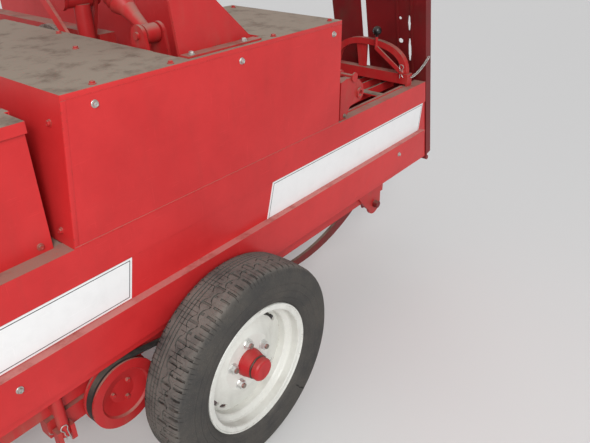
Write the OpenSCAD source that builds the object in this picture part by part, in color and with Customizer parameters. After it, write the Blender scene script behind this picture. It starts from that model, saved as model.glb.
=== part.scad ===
// Side-fed square baler, parked on its two wheels and its front stand.
// Built in a machine frame in millimetres: X forward to the drawbar, Y to the left, Z up,
// zero on the ground below the axle at the bale chamber's centre line.
// place() moves it to the part's own frame, centred on the ground under its outline.

/* [Bale chamber] */
// Inside width of the bale chamber
chamber_w = 460; // [440:10:480]
// Inside height of the bale chamber
chamber_h = 360; // [340:10:380]
// Height of the chamber floor above the ground
floor_z = 505; // [495:5:525]
// Front end of the chamber walls, ahead of the axle
chamber_front = 1250; // [1230:10:1300]
// Rear end of the chamber floor, behind the axle
chamber_rear = 1369; // [1360:1:1380]
// Thickness of the chamber plates
plate_t = 5; // [4:1:6]
// Height of the side rail's outer face
rail_h = 115; // [100:5:125]
// How far the side rail stands out from the wall
rail_out = 25; // [20:1:30]
// Width of the flange along the top of each wall
flange_w = 45; // [35:5:55]
// Depth of the folded band below that flange
band_h = 91; // [70:1:100]
// Thickness of that band
band_t = 4; // [3:1:5]

/* [Chassis] */
// Height of the two chassis channels
channel_h = 65; // [55:5:70]
// Width of the chassis channels' flanges
channel_w = 40; // [35:5:45]
// Wall of the chassis channels
channel_t = 5; // [4:1:6]

/* [Hood] */
// Top of the hood above the chamber's top
hood_h = 341; // [320:1:360]
// Sheet thickness of the hood
hood_t = 3; // [2:0.5:4]
// Front edge of the hood's roof, ahead of the axle
hood_front = 345; // [330:5:360]
// Rear edge of the hood's roof, behind the axle
hood_rear = 645; // [620:5:680]
// How far the hood's front face leans forward towards its foot
hood_lean = 40; // [20:5:60]
// Width of the roof opening along the machine
roof_gap = 303; // [280:1:320]
// Width of the front roof strip
roof_front_w = 352; // [340:1:370]
// Reach of the front roof strip to the right of the centre line
roof_reach = 640; // [600:10:680]

/* [Feed side] */
// Rear edge of the feed opening, behind the axle
feed_rear = 290; // [285:5:300]
// Front edge of the feed opening, ahead of the axle
feed_front = 385; // [380:5:400]
// Height of the feed housing's rear wall
feed_h = 400; // [380:10:420]

/* [Wheels] */
// Tyre radius
tyre_r = 328; // [320:1:335]
// Section width of the tyre
tyre_w = 155; // [145:1:165]
// Width of the tread between its shoulders
tread_w = 122; // [110:1:130]
// Bead seat radius of the rim
rim_r = 190.5; // [185:0.5:195]
// Half width of the rim between its flanges
rim_half = 57; // [52:1:60]
// Centre plane of the left wheel from the chamber's centre line
wheel_y = 361; // [361:1:370]
// Distance between the two wheels' centre planes
track = 2080; // [2060:10:2120]
// Radius of the wheel spindles
spindle_r = 20; // [18:1:22]
// Radius of the axle tube
axle_r = 32; // [28:1:35]
// Distance from the feed housing's end to the right wheel's centre plane
wheel_room = 159; // [155:1:175]
// Running clearance of a shaft in its bore
run_gap = 0.05; // [0.03:0.01:0.08]
// Radius of the wheel stud circle
stud_circle = 70; // [65:1:75]

/* [Pickup] */
// Pickup hinge line ahead of the axle
lift_x = 339; // [335:1:345]
// Pickup hinge line above the ground
lift_z = 393; // [390:1:396]
// Reel centre ahead of the pickup hinge
reel_dx = 351; // [345:1:360]
// Reel centre above the pickup hinge
reel_dz = 7; // [0:1:15]
// Radius of the reel's tine tips
tine_r = 255; // [245:1:260]
// Radius of the stripper bands
band_r = 190; // [185:1:200]
// Number of tines along each tine bar
tine_n = 13; // [11:1:13]
// Number of tine bars
tine_bars = 4; // [3:1:5]
// Gap between two stripper bands
strip_gap = 24; // [22:1:28]

/* [Drive] */
// Input shaft above the ground
input_z = 720; // [700:5:740]
// Flywheel radius
flywheel_r = 260; // [240:5:270]
// Radius of the pickup drive pulley
pulley_r = 102; // [96:1:102]
// Radius of the pickup drive shaft
drive_r = 15; // [14:0.5:17]

/* [Needles] */
// Needle shaft behind the axle
needle_x = 980; // [960:5:1000]
// Needle shaft above the ground
needle_z = 405; // [400:1:410]
// Reach of the needle tips from their shaft
needle_reach = 680; // [670:1:690]
// Distance of each needle from the centre line
needle_y = 118; // [112:1:122]
// Droop of the needle tips below their shaft at rest, in degrees
needle_droop = 5; // [4:0.5:8]
// Width of the slots for the needles
needle_slot = 40; // [36:1:48]

/* [Bale chute] */
// Chute hinge line behind the floor's rear edge
chute_gap = 21; // [20:1:24]
// Chute hinge line below the floor's upper face
chute_drop = 19; // [18:1:22]
// Distance of the chute's sheet from the hinge line
chute_off = 8; // [7:1:10]
// Length of the chute
chute_l = 900; // [800:10:950]
// Depth of the chute's side flanges
chute_d = 38; // [30:1:45]
// Reach of the chute to the right of the centre line
chute_far = 205; // [195:1:210]
// Lean of the folded chute past upright, in degrees
chute_lean = 13; // [10:0.5:16]

/* [Drawbar] */
// Drawbar pivot ahead of the axle
pivot_x = 1180; // [1170:5:1190]
// Radius of the drawbar pivot pin
pivot_r = 20; // [18:1:22]
// Distance from the pivot pin to the hitch pin
drawbar_l = 1260; // [1200:10:1320]
// Width of the drawbar
drawbar_w = 100; // [90:2:110]
// Height of the drawbar
drawbar_h = 60; // [55:1:64]
// Radius of the hitch pin hole
hitch_r = 16; // [14:0.5:18]

/* [Hidden] */
$fn = 64;

red = "#b8242a";
shade_red = "#8f1a20";
steel = "#8d8d88";
dark = "#2b2b2a";
white = "#d8d8d0";
e = 0.5;

wall_in = chamber_w / 2;
wall_out = wall_in + plate_t;
skin_y = wall_out + band_t;
top_z = floor_z + chamber_h;
hood_z = top_z + hood_h;
rail_top = floor_z + 150;
base_z = floor_z - plate_t;
in_y = skin_y - flange_w - band_t;
rear_x = -chamber_rear + chamber_h * tan(chute_lean);
channel_y = wall_in - 30;
under_z = base_z - channel_h;
roof_z = floor_z + feed_h;
wheel_right = wheel_y - track;
feed_end = -wheel_right - wheel_room;
reel_x = lift_x + reel_dx;
reel_z = lift_z + reel_dz;
reel_y0 = -345;
reel_y1 = -feed_end + 15;
tine_pitch = (reel_y0 - reel_y1 - 10) / (tine_n + 1);
strip_w = tine_pitch - strip_gap;
gauge_z = 260;
gauge_y0 = reel_y1 - 78;
hitch_x = pivot_x + drawbar_l;
chute_x = chamber_rear + chute_gap;
chute_z = floor_z - chute_drop;
beam_z = 392;
fly_x = chamber_front + 75;
gap_rear = hood_front - roof_front_w - roof_gap;
gap_front = hood_front - roof_front_w;

// The part's own origin, at the middle of the outline on the ground
front_end = hitch_x + 40;
rear_end = -chute_x - (chute_d - chute_off) * cos(chute_lean) + 20 * sin(chute_lean);
left_end = wheel_y + 84;
right_end = wheel_right - 84;
origin_x = (front_end + rear_end) / 2;
origin_y = (left_end + right_end) / 2;

module place(c) { translate([-origin_x, -origin_y, 0]) color(c) children(); }

// A box from corner to corner
module block(x, y, z) {
  translate([min(x), min(y), min(z)]) cube([abs(x[1] - x[0]), abs(y[1] - y[0]), abs(z[1] - z[0])]);
}
// Round bars along each axis, from a start point over a length
module bar_x(p, l, r) { translate(p) rotate([0, 90, 0]) cylinder(h = l, r = r); }
module bar_y(p, l, r) { translate(p) rotate([-90, 0, 0]) cylinder(h = l, r = r); }
module bar_z(p, l, r) { translate(p) cylinder(h = l, r = r); }
// A round bar between two points
module rod(a, b, r) {
  d = b - a;
  translate(a) rotate([0, acos(d[2] / norm(d)), atan2(d[1], d[0])]) cylinder(h = norm(d), r = r);
}
// An outline drawn in X and Z, given thickness in Y from y0 to y1
module slab_y(y0, y1) {
  translate([0, max(y0, y1), 0]) rotate([90, 0, 0]) linear_extrude(abs(y1 - y0)) children();
}
// An outline drawn in Y and Z, given thickness in X from x0 to x1
module slab_x(x0, x1) {
  translate([min(x0, x1), 0, 0]) rotate([90, 0, 90]) linear_extrude(abs(x1 - x0)) children();
}
// A body turned about a line along Y through x, z; outline in radius and y
module turn_y(x, z, a0 = 0, a = 360) {
  translate([x, 0, z]) rotate([-90, 0, 0]) rotate([0, 0, a0]) rotate_extrude(angle = a, $fn = 96)
    children();
}
module ring(ro, ri, y0, y1) { translate([ri, min(y0, y1)]) square([ro - ri, abs(y1 - y0)]); }
// Points along an arc
function arc(c, r, a0, a1, n) =
  [for (i = [0:n]) let(a = a0 + (a1 - a0) * i / n) [c[0] + r * cos(a), c[1] + r * sin(a)]];

// Chamber plates
function rear_at(z) = -chamber_rear + (z - floor_z) * tan(chute_lean);
module wall_outline(z0, z1) {
  polygon([[rear_at(z0), z0], [chamber_front, z0], [chamber_front, z1], [rear_at(z1), z1]]);
}
module wall_plate(s) {
  slab_y(s * wall_in, s * wall_out) wall_outline(base_z, top_z - plate_t);
  slab_y(s * wall_out, s * skin_y) wall_outline(top_z - band_h, top_z);
  slab_y(s * in_y, s * skin_y) wall_outline(top_z - plate_t, top_z);
  block([frame_x + 30, -hood_rear - 8], [s * in_y, s * (in_y + 12)], [top_z - 1, top_z + 4]);
}
module left_wall() place(red) wall_plate(1);
module right_wall() place(red) difference() {
  wall_plate(-1);
  block([-feed_rear, feed_front], [-wall_in + e, -skin_y - e], [floor_z, top_z - plate_t]);
}
module chamber_floor() place(red) {
  floor_plate();
  chute_lugs();
}
module floor_plate() difference() {
  block([-chamber_rear, chamber_front], [-wall_in, wall_in], [base_z, floor_z]);
  for (s = [-1, 1])
    block([-needle_x + 30, -needle_x + needle_reach + 20],
      [s * needle_y - needle_slot / 2, s * needle_y + needle_slot / 2], [base_z - e, floor_z + e]);
}
// Front cover, knotter deck and the two pressing channels with the metering wheel's bearings
press_x = -hood_rear + 60;
knot_x = -hood_rear + 85;
deck_x0 = knot_x - 110;
deck_x1 = knot_x + 130;
module top_cover() place(red) {
  block([feed_front + 2, chamber_front - 190], [-in_y, in_y], [top_z - plate_t, top_z]);
  difference() {
    block([deck_x0, deck_x1], [-in_y, in_y], [top_z - plate_t, top_z]);
    for (s = [-1, 1])
      block([deck_x0 + 30, deck_x1 + 5], [s * (needle_y - 22), s * (needle_y + 22)],
        [top_z - plate_t - e, top_z + e]);
  }
  for (s = [-1, 1]) {
    difference() {
      block([rear_x, press_x], [s * 20, s * 90], [top_z - 45, top_z - 10]);
      block([rear_x - e, press_x + e], [s * 25, s * 85], [top_z - 40, top_z]);
    }
    difference() {
      slab_y(s * 25, s * 33) polygon([[meter_x - 45, top_z - 42], [meter_x + 45, top_z - 42],
        [meter_x + 18, meter_z + 20], [meter_x - 18, meter_z + 20]]);
      bar_y([meter_x, -60, meter_z], 120, 10 + run_gap);
    }
  }
  for (x = [-hood_rear + 20, -1050])
    block([x, x + 40], [-wall_in, wall_in], [top_z - 10, top_z - plate_t]);
}
rail_rear = -1290;
module left_rail() place(red) difference() {
  block([rail_rear, chamber_front], [wall_out, wall_out + rail_out], [rail_top - rail_h, rail_top]);
  block([rail_rear - e, chamber_front + e], [wall_out - e, wall_out + rail_out - 4],
    [rail_top - rail_h + 4, rail_top - 4]);
}

// Chassis channels below the floor, with cross members and brackets
cross_x = [150, 650, 1130];
module chassis() place(red) {
  for (s = [-1, 1]) {
    difference() {
      block([-needle_x - 80, chamber_front], [s * (channel_y - channel_w), s * channel_y], [under_z, base_z]);
      block([-needle_x - 80 - e, chamber_front + e], [s * (channel_y - channel_w) - s * e, s * (channel_y - channel_t)],
        [under_z + channel_t, base_z - channel_t]);
    }
    difference() {
      slab_y(s * (channel_y - channel_w), s * (channel_y - channel_w + 8))
        polygon([[-needle_x - 45, under_z], [-needle_x + 45, under_z], [-needle_x + 22, needle_z - 28],
          [-needle_x - 22, needle_z - 28]]);
      bar_y([-needle_x, -wall_out, needle_z], 2 * wall_out, drive_r + run_gap);
    }
    difference() {
      slab_y(s * (channel_y - channel_w), s * (channel_y - channel_w + 8))
        polygon([[lift_x - 45, under_z], [lift_x + 45, under_z], [lift_x + 25, lift_z - 25],
          [lift_x - 25, lift_z - 25]]);
      bar_y([lift_x, -wall_out, lift_z], 2 * wall_out, drive_r + run_gap);
    }
  }
  slab_y(channel_y - 8, channel_y)
    polygon([[belt_x - 45, under_z + 1], [belt_x + 45, under_z + 1], [belt_x + 26, belt_z - 26],
      [belt_x - 26, belt_z - 26]]);
  for (x = cross_x)
    block([x, x + 50], [-channel_y + channel_w, channel_y - channel_w], [under_z + 10, base_z]);
  block([lift_x + 38, clip_x + 30], [channel_y - channel_w + 2, channel_y], [lift_z - 28, lift_z + 27]);
  bar_z([clip_x, channel_y + 18, under_z - 66], base_z - under_z + 66, 14);
  block([clip_x - 14, clip_x + 14], [channel_y - 1, channel_y + 18], [under_z + 8, under_z + 50]);
  for (x = [clip_x - 24, clip_x + 12]) {
    block([x, x + 12], [channel_y + 6, channel_y + 30], [under_z - 84, under_z - 40]);
    bar_x([x, channel_y + 18, under_z - 84], 12, 12);
  }
  for (s = [-1, 1]) difference() {
    slab_y(s * channel_y, s * (channel_y + 10)) union() {
      polygon([[-needle_x + 150, base_z], [-needle_x - 40, base_z], [-needle_x - 46, needle_z],
        [-needle_x, needle_z - 46], [-needle_x + 60, needle_z]]);
      translate([-needle_x, needle_z]) circle(r = 46);
    }
    bar_y([-needle_x, -wall_out, needle_z], 2 * wall_out, drive_r + run_gap);
  }
}
clip_x = 507;

// Hood over the feed opening and the knotters
module hood_side_outline(x_rear) {
  polygon([[-x_rear, top_z], [hood_front + hood_lean, top_z], [hood_front, hood_z], [-x_rear, hood_z]]);
}
function face_x(z) = hood_front + hood_lean * (hood_z - z) / hood_h;
module hood_face() {
  polygon([[face_x(top_z), top_z], [hood_front, hood_z], [hood_front - hood_t, hood_z],
    [face_x(top_z) - hood_t, top_z]]);
}
module hood() place(red) {
  slab_y(skin_y - hood_t, skin_y) hood_side_outline(hood_rear);
  slab_y(-skin_y, -skin_y + hood_t)
    polygon([[-hood_rear, top_z], [-feed_rear - 20, top_z], [-feed_rear - 20, hood_z],
      [-hood_rear, hood_z]]);
  block([-hood_rear, gap_rear], [-skin_y, skin_y], [hood_z - hood_t, hood_z]);
  block([gap_rear, gap_front], [skin_y - 50, skin_y], [hood_z - hood_t, hood_z]);
  block([gap_front, hood_front - 1], [-roof_reach, skin_y], [hood_z - hood_t, hood_z]);
  difference() {
    slab_y(-roof_reach, skin_y) hood_face();
    block([hood_front - hood_t, hood_front + hood_lean + e], [-roof_reach - e, -skin_y], [top_z - e, roof_z]);
  }
  slab_y(-roof_reach, -roof_reach + hood_t)
    polygon([[gap_front, roof_z], [face_x(roof_z), roof_z], [hood_front, hood_z], [gap_front, hood_z]]);
  block([gap_front, gap_front + hood_t], [-roof_reach, -skin_y], [roof_z, hood_z]);
  block([gap_rear - hood_t, gap_rear], [-skin_y, skin_y], [hood_z - 40, hood_z]);
  block([gap_front - 3, gap_front], [-345, 95], [shelf_z - 8, hood_z]);
  block([gap_front - 98, gap_front], [-345, 95], [shelf_z - 8, shelf_z]);
  slab_x(gap_front - 13, gap_front - 3)
    polygon([[-226, shelf_z - 1], [-262, shelf_z - 1], [-492, hood_z + 174], [-456, hood_z + 174]]);
  screen();
}
// Tall screen behind the roof opening, folded along its top and its near edge
screen_y = -100;
screen_reach = feed_end - 290;
screen_top = hood_z + 190;
shelf_z = hood_z - 73;
module screen() {
  block([gap_rear - hood_t, gap_rear], [-screen_reach, screen_y], [roof_z, screen_top]);
  block([gap_rear - hood_t, gap_rear + 18], [-screen_reach, screen_y], [screen_top - hood_t, screen_top]);
  block([gap_rear - 22, gap_rear], [screen_y - hood_t, screen_y], [hood_z - 1, screen_top]);
  block([gap_rear - 22, gap_rear], [-screen_reach, -screen_reach + hood_t], [roof_z, screen_top]);
}

// Tower plate on the hood's near edge and the tie tube across the opening
fin_y = 190;
tower_x = gap_front - 68;
tower_z = hood_z + 219;
module fin_outline() {
  union() {
    polygon([[gap_front - 4, hood_z], [gap_front + 12, hood_z + 130], [tower_x + 35, tower_z + 5],
      [tower_x - 35, tower_z + 5], [tower_x - 71, hood_z + 115], [gap_rear + 34, hood_z]]);
    translate([tower_x, tower_z]) circle(r = 38);
  }
}
module tower() place(red) {
  difference() {
    slab_y(fin_y - 4, fin_y + 4) fin_outline();
    bar_y([tower_x, fin_y - 10, tower_z], 20, 12);
  }
  block([gap_rear + 34, gap_front - 4], [fin_y + 4, fin_y + 36], [hood_z, hood_z + 5]);
}

// Feed housing to the right of the chamber, with the guard's arms and the shaft's outer bearing
guard_x = 440;
guard_z = 800;
outer_y = reel_y1 + 15;
module feed_housing() place(red) {
  rear = -feed_rear - plate_t;
  block([rear, feed_front], [-feed_end, -wall_out], [base_z, floor_z]);
  block([rear, -feed_rear], [-feed_end, -skin_y], [floor_z, roof_z]);
  block([gap_rear - hood_t, -feed_rear], [-feed_end, -skin_y], [roof_z - 3, roof_z]);
  block([rear, feed_front], [-feed_end, -feed_end + 4], [base_z, roof_z]);
  block([gap_front, feed_front], [-feed_end, -skin_y], [roof_z - 4, roof_z]);
  for (y = [-feed_end + 560, -feed_end + 40])
    block([rear, feed_front], [y - 20, y + 20], [base_z - 40, base_z + 1]);
  for (y = [reel_y0 - 14, reel_y1 + 14]) difference() {
    slab_y(y - 4, y + 4) union() {
      polygon([[feed_front - 90, roof_z - 3], [feed_front, roof_z - 3], [guard_x + 22, guard_z + 16],
        [guard_x - 22, guard_z - 16]]);
      translate([guard_x, guard_z]) circle(r = 28);
    }
    bar_y([guard_x, y - 10, guard_z], 20, 14 + 0.3);
  }
  difference() {
    slab_y(outer_y, outer_y + 8) union() {
      polygon([[lift_x - 45, base_z + 1], [feed_front, base_z + 1], [lift_x + 30, lift_z], [lift_x - 30, lift_z]]);
      translate([lift_x, lift_z]) circle(r = 30);
    }
    bar_y([lift_x, outer_y - 20, lift_z], 40, drive_r + run_gap);
  }
}

// Feeder: beam with three forks, rocker, strut and crank
fork_y = [for (i = [0:2]) -420 - i * (feed_end - 720) / 3];
fork_x = [-225, -150, -75];
fork_z = 1160;
rocker_y = -297;
rocker_z = hood_z + 86;
strut_y = -245;
strut_z = hood_z + 226;
strut_x = gap_front - 46;
eye_y = 30;
eye_z = hood_z + 29;
link_y = -335;
beam_front = -122;
crank_y = -roof_reach + 80;
module feeder_forks() place(red) {
  block([beam_front - 56, beam_front], [-feed_end + 440, -300], [fork_z - 20, fork_z + 20]);
  for (y = fork_y) {
    block([-240, -60], [y - 12, y + 12], [fork_z - 32, fork_z - 20]);
    for (x = fork_x) {
      rod([x, y, fork_z - 30], [x, y - 30, 840], 9);
      rod([x, y - 30, 842], [x, y + 20, 600], 8);
    }
  }
}
module feeder_rocker() place(red) {
  bar_z([strut_x - 18, rocker_y + 10, shelf_z], rocker_z - 15 - shelf_z, 24);
  bar_x([gap_front - 123, rocker_y, rocker_z], 122, 24);
  for (x = [strut_x - 47, strut_x + 35]) hull() {
    bar_x([x, rocker_y, rocker_z], 10, 28);
    bar_x([x, strut_y, strut_z], 10, 24);
  }
  hull() {
    bar_x([gap_front - 111, rocker_y, rocker_z], 12, 28);
    bar_x([gap_front - 111, link_y, fork_z], 12, 22);
  }
  bar_x([beam_front, link_y, fork_z], gap_front - 100 - beam_front, 12);
}
// Strut from the clevis on the shelf to the rocker, with its ridged sleeve
strut_d = [0, strut_y - eye_y, strut_z - eye_z];
strut_l = norm(strut_d);
function ridges(n) = [for (i = [0:n - 1], k = [0, 1]) [k == 0 ? 37 : 30, 118 + 16 * i + 8 * k]];
module feeder_strut() place(red) {
  for (x = [strut_x - 37, strut_x + 27]) hull() {
    bar_x([x, eye_y, eye_z], 10, 27);
    block([x, x + 10], [eye_y - 36, eye_y + 44], [shelf_z, shelf_z + 2]);
  }
  bar_x([strut_x - 44, eye_y, eye_z], 88, 10);
  bar_x([strut_x - 21, eye_y, eye_z], 42, 25);
  translate([strut_x, eye_y, eye_z]) rotate([0, acos(strut_d[2] / strut_l), atan2(strut_d[1], strut_d[0])])
    rotate_extrude($fn = 40) polygon(concat([[0, 0], [15, 0], [19, 60], [24, 92], [32, 108]], ridges(9),
      [[25, 266], [21, 276], [21, strut_l], [0, strut_l]]));
  bar_x([strut_x - 37, strut_y, strut_z], 72, 24);
}
module feeder_crank() place(steel) {
  bar_x([beam_front + 4, crank_y, fork_z - 90], gap_front - beam_front - 4, 24);
  bar_x([beam_front + 4, crank_y, fork_z - 90], 18, 115);
  bar_x([beam_front, crank_y, fork_z], 6, 15);
}

// Knotters on their cross shaft
module knotters() place(steel) {
  x = knot_x;
  z = top_z + 145;
  bar_y([x, -skin_y + hood_t, z], 2 * (skin_y - hood_t), 16);
  for (s = [-1, 1]) {
    bar_y([x, s * 178 - 12, z], 24, 105);
    bar_y([x, s * 185 - 35, z], 70, 34);
    slab_y(s * 152 - 5, s * 152 + 5)
      polygon([[x - 30, top_z], [x + 110, top_z], [x + 100, top_z + 65], [x + 25, z + 25], [x - 25, z + 25]]);
  }
}

// Needles on their shaft below the floor
needle_a0 = -needle_droop;
module needle_outline() {
  tip = [needle_reach * cos(needle_a0), needle_reach * sin(needle_a0)];
  r = 740;
  half = needle_reach / 2;
  h = sqrt(r * r - half * half);
  c = [half * cos(needle_a0) - h * sin(needle_a0) * 1, half * sin(needle_a0) + h * cos(needle_a0)];
  a0 = atan2(-c[1], -c[0]);
  a1 = atan2(tip[1] - c[1], tip[0] - c[0]);
  n = 14;
  polygon(concat(
    [for (i = [0:n]) let(a = a0 + (a1 - a0) * i / n, w = 26 - 18 * i / n) [c[0] + (r + w) * cos(a), c[1] + (r + w) * sin(a)]],
    [for (i = [n:-1:0]) let(a = a0 + (a1 - a0) * i / n, w = 26 - 18 * i / n) [c[0] + (r - w) * cos(a), c[1] + (r - w) * sin(a)]]));
}
module needle_frame() place(red) {
  bar_y([-needle_x, -290, needle_z], 290 + wall_in, drive_r);
  for (s = [-1, 1]) {
    translate([-needle_x, 0, needle_z]) slab_y(s * needle_y - 6, s * needle_y + 6) needle_outline();
    bar_y([-needle_x, s * needle_y - 25, needle_z], 50, 30);
  }
  slab_y(-290, -278) translate([-needle_x, needle_z]) union() {
    circle(r = 30);
    polygon([[-20, 0], [-14, 120], [14, 120], [20, 0]]);
    translate([0, 120]) circle(r = 20);
  }
}

// Axle tube with its saddles and stub spindles
module axle() place(red) {
  y0 = wheel_right + 75;
  y1 = wheel_y - 75;
  z = tyre_r;
  bar_y([0, y0, z], y1 - y0, axle_r);
  bar_y([0, wheel_right - 65, z], track + 130, spindle_r);
  for (s = [-1, 1]) difference() {
    slab_y(s * (channel_y - 30), s * (channel_y - 22))
      polygon([[-90, under_z], [90, under_z], [55, z - 20], [-55, z - 20]]);
    bar_y([0, -wall_out, z], 2 * wall_out, axle_r - 1);
  }
  for (y = [-feed_end + 560, -feed_end + 40])
    block([-35, 35], [y - 4, y + 4], [z + 10, base_z - 40]);
}

// Wheels
module tyre_section() {
  mid = 258;
  difference() {
    union() {
      translate([mid, 0]) circle(r = tyre_w / 2);
      translate([mid, -tread_w / 2]) square([tyre_r - mid - 4, tread_w]);
      intersection() {
        translate([mid, -tread_w / 2 + 4]) square([tyre_r - mid, tread_w - 8]);
        translate([tyre_r - 600, 0]) circle(r = 600);
      }
    }
    translate([0, -tyre_w]) square([rim_r + 0.3, 2 * tyre_w]);
    for (s = [0, 1]) mirror([0, s]) translate([rim_r - 1, rim_half - 0.3]) square([20, tyre_w]);
    translate([tyre_r - 600, 0]) difference() {
      translate([590, -tyre_w]) square([40, 2 * tyre_w]);
      circle(r = 600);
    }
  }
}
// Half of the rim's barrel, from the middle of its well to its flange, outside and then inside
function rim_half_path() = concat(
  [[rim_r - 18, 17], [rim_r - 2, 26], [rim_r, 30], [rim_r, rim_half], [rim_r + 17.5, rim_half],
    [rim_r + 17.5, rim_half + 5], [rim_r + 16, rim_half + 7.5], [rim_r + 12.5, rim_half + 7.5]],
  [[rim_r + 11, rim_half + 5], [rim_r - 2, rim_half + 4], [rim_r - 4, rim_half + 1], [rim_r - 4, 34],
    [rim_r - 7, 29], [rim_r - 19, 22], [rim_r - 22, 18]]);
function disc_path() = [[rim_r - 22, -5], [120, 4], [92, 14], [45, 14], [45, 8], [92, 8], [118, -2], [rim_r - 22, -11]];
module rim_section() {
  polygon(concat(rim_half_path(), disc_path(), [for (p = reversed(rim_half_path())) [p[0], -p[1]]]));
}
module wheel_rim(s) {
  difference() {
    turn_y(0, tyre_r) {
      if (s > 0) rim_section(); else mirror([0, 1]) rim_section();
    }
    for (i = [0:4]) rotate_about_wheel(i * 72 + 18) bar_y([stud_circle, -30, 0], 60, 8);
    for (i = [0:3], a = [-9, 9]) rotate_about_wheel(i * 90 + 50 + a) {
      block([146, 158], [-30, 30], [-12, 12]);
      for (z = [-12, 12]) bar_y([152, -30, z], 60, 6);
    }
  }
}
module rotate_about_wheel(a) { translate([0, 0, tyre_r]) rotate([0, -a, 0]) children(); }
module wheel_hub(s) {
  difference() {
    union() {
      turn_y(0, tyre_r) union() {
        if (s > 0) hub_section(); else mirror([0, 1]) hub_section();
      }
      for (i = [0:4]) rotate_about_wheel(i * 72 + 18) bar_y([stud_circle, s > 0 ? 0 : -34, 0], 34, 7.5);
    }
  }
}
module hub_section() {
  polygon([[spindle_r + run_gap, -72], [42, -72], [46, -4], [91, -4], [91, 8], [44.5, 8], [44.5, 24],
    [38, 50], [34, 52], [34, 56], [36, 58], [36, 72], [33, 77], [28, 79], [0, 79], [0, 66],
    [spindle_r + run_gap, 66]]);
}
module at_left() { translate([0, wheel_y, 0]) children(); }
module at_right() { translate([0, wheel_right, 0]) children(); }
module tyre_left() place(dark) at_left() turn_y(0, tyre_r) tyre_section();
module rim_left() place(white) at_left() wheel_rim(1);
module hub_left() place(red) at_left() wheel_hub(1);
module tyre_right() place(dark) at_right() turn_y(0, tyre_r) tyre_section();
module rim_right() place(white) at_right() wheel_rim(-1);
module hub_right() place(red) at_right() wheel_hub(-1);

// Pickup drive: cross shaft with its pulley, and the belt to the second pulley
belt_x = 60;
belt_z = lift_z + 4;
belt_r2 = 40;
pulley_y = 207;
module pickup_drive() place(red) {
  bar_y([lift_x, reel_y1 - 40, lift_z], pulley_y + 25 - reel_y1 + 40, drive_r);
  turn_y(lift_x, lift_z) union() {
    pulley_section();
  }
}
module pulley_section() {
  polygon([for (p = [[drive_r - pulley_r - 1, 25], [-66, 25], [-33, 37], [-28, 43], [0, 43], [0, 38], [-8, 34], [-8, 9],
    [0, 5], [0, 0], [-18, 0], [-24, 18], [-62, 18], [-62, 2], [drive_r - pulley_r - 1, 2]])
    [pulley_r + p[0], pulley_y + p[1]]]);
}
module belt_outline(g) {
  a = [lift_x, lift_z];
  b = [belt_x, belt_z];
  d = norm(b - a);
  ra = pulley_r - 7.5 + g;
  rb = belt_r2 - 3.5 + g;
  dir = atan2(b[1] - a[1], b[0] - a[0]);
  off = acos((ra - rb) / d);
  polygon(concat(arc(a, ra, dir + off, dir + 360 - off, 32), arc(b, rb, dir - off, dir + off, 16)));
}
module drive_belt() place(dark) slab_y(pulley_y + 13, pulley_y + 30) difference() {
  belt_outline(7);
  belt_outline(0);
}
module belt_pulley() place(steel) {
  y0 = channel_y;
  y1 = pulley_y + 43;
  turn_y(belt_x, belt_z) polygon([[0, y0], [belt_r2, y0], [belt_r2, pulley_y + 9], [belt_r2 - 4, pulley_y + 9],
    [belt_r2 - 4, y1 - 4], [belt_r2, y1 - 4], [belt_r2, y1], [0, y1]]);
}

// Pickup: side plates and cross tube
module pickup_plate_outline() {
  difference() {
    union() {
      translate([reel_x, reel_z]) circle(r = 200);
      polygon([[reel_x, reel_z + 200], [lift_x, lift_z + 38], [lift_x, lift_z - 38], [reel_x, reel_z - 200]]);
      translate([lift_x, lift_z]) circle(r = 38);
    }
    translate([lift_x, lift_z]) circle(r = drive_r + run_gap);
    translate([reel_x, reel_z]) circle(r = 20 + run_gap);
  }
}
module pickup_frame() place(red) {
  for (y = [reel_y0, reel_y1]) slab_y(y - 2, y + 2) pickup_plate_outline();
  block([reel_x - 302, reel_x - 264], [reel_y1, reel_y0], [reel_z - 20, reel_z + 20]);
  bar_y([reel_x, gauge_y0 - 4, gauge_z], reel_y1 - gauge_y0 + 4, 12);
}
function band_path(g) = concat([[feed_front + 15, floor_z + 22 + g]],
  arc([reel_x, reel_z], band_r + g, 90, -114, 24), [[reel_x - 278 - 4 * g, reel_z - 20]]);
function reversed(p) = [for (i = [len(p) - 1:-1:0]) p[i]];
module pickup_strippers() place(red) {
  for (i = [0:tine_n]) {
    y = reel_y0 - 5 - tine_pitch * (i + 0.5);
    slab_y(y - strip_w / 2, y + strip_w / 2) polygon(concat(band_path(3), reversed(band_path(0))));
  }
  block([feed_front + 15, feed_front + 45], [reel_y1 + 2, reel_y0 - 2], [floor_z + 18, floor_z + 24]);
}
module pickup_reel() place(steel) {
  bar_y([reel_x, reel_y1 - 4, reel_z], reel_y0 - reel_y1 + 24, 20);
  for (y = [reel_y0 - 8, reel_y1 + 4]) bar_y([reel_x, y, reel_z], 4, 140);
  for (k = [0:tine_bars - 1]) translate([reel_x, 0, reel_z]) rotate([0, -k * 360 / tine_bars, 0]) {
    bar_y([115, reel_y1 + 6, 0], reel_y0 - reel_y1 - 12, 14);
    for (i = [1:tine_n]) {
      y = reel_y0 - 5 - tine_pitch * i;
      bar_x([115, y, 0], tine_r - 115, 3);
    }
  }
}
module wind_guard() place(steel) {
  bar_y([guard_x, reel_y1, guard_z], reel_y0 - reel_y1, 14);
  tip_x = reel_x + 240;
  tip_z = reel_z + 250;
  for (i = [0:9]) {
    y = reel_y0 - 60 + i * (reel_y1 - reel_y0 + 120) / 9;
    rod([guard_x, y, guard_z], [tip_x, y, tip_z], 6);
  }
}
module gauge_wheel() place(dark) {
  turn_y(reel_x, gauge_z) ring(145, 12 + run_gap, gauge_y0, gauge_y0 + 70);
}

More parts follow.
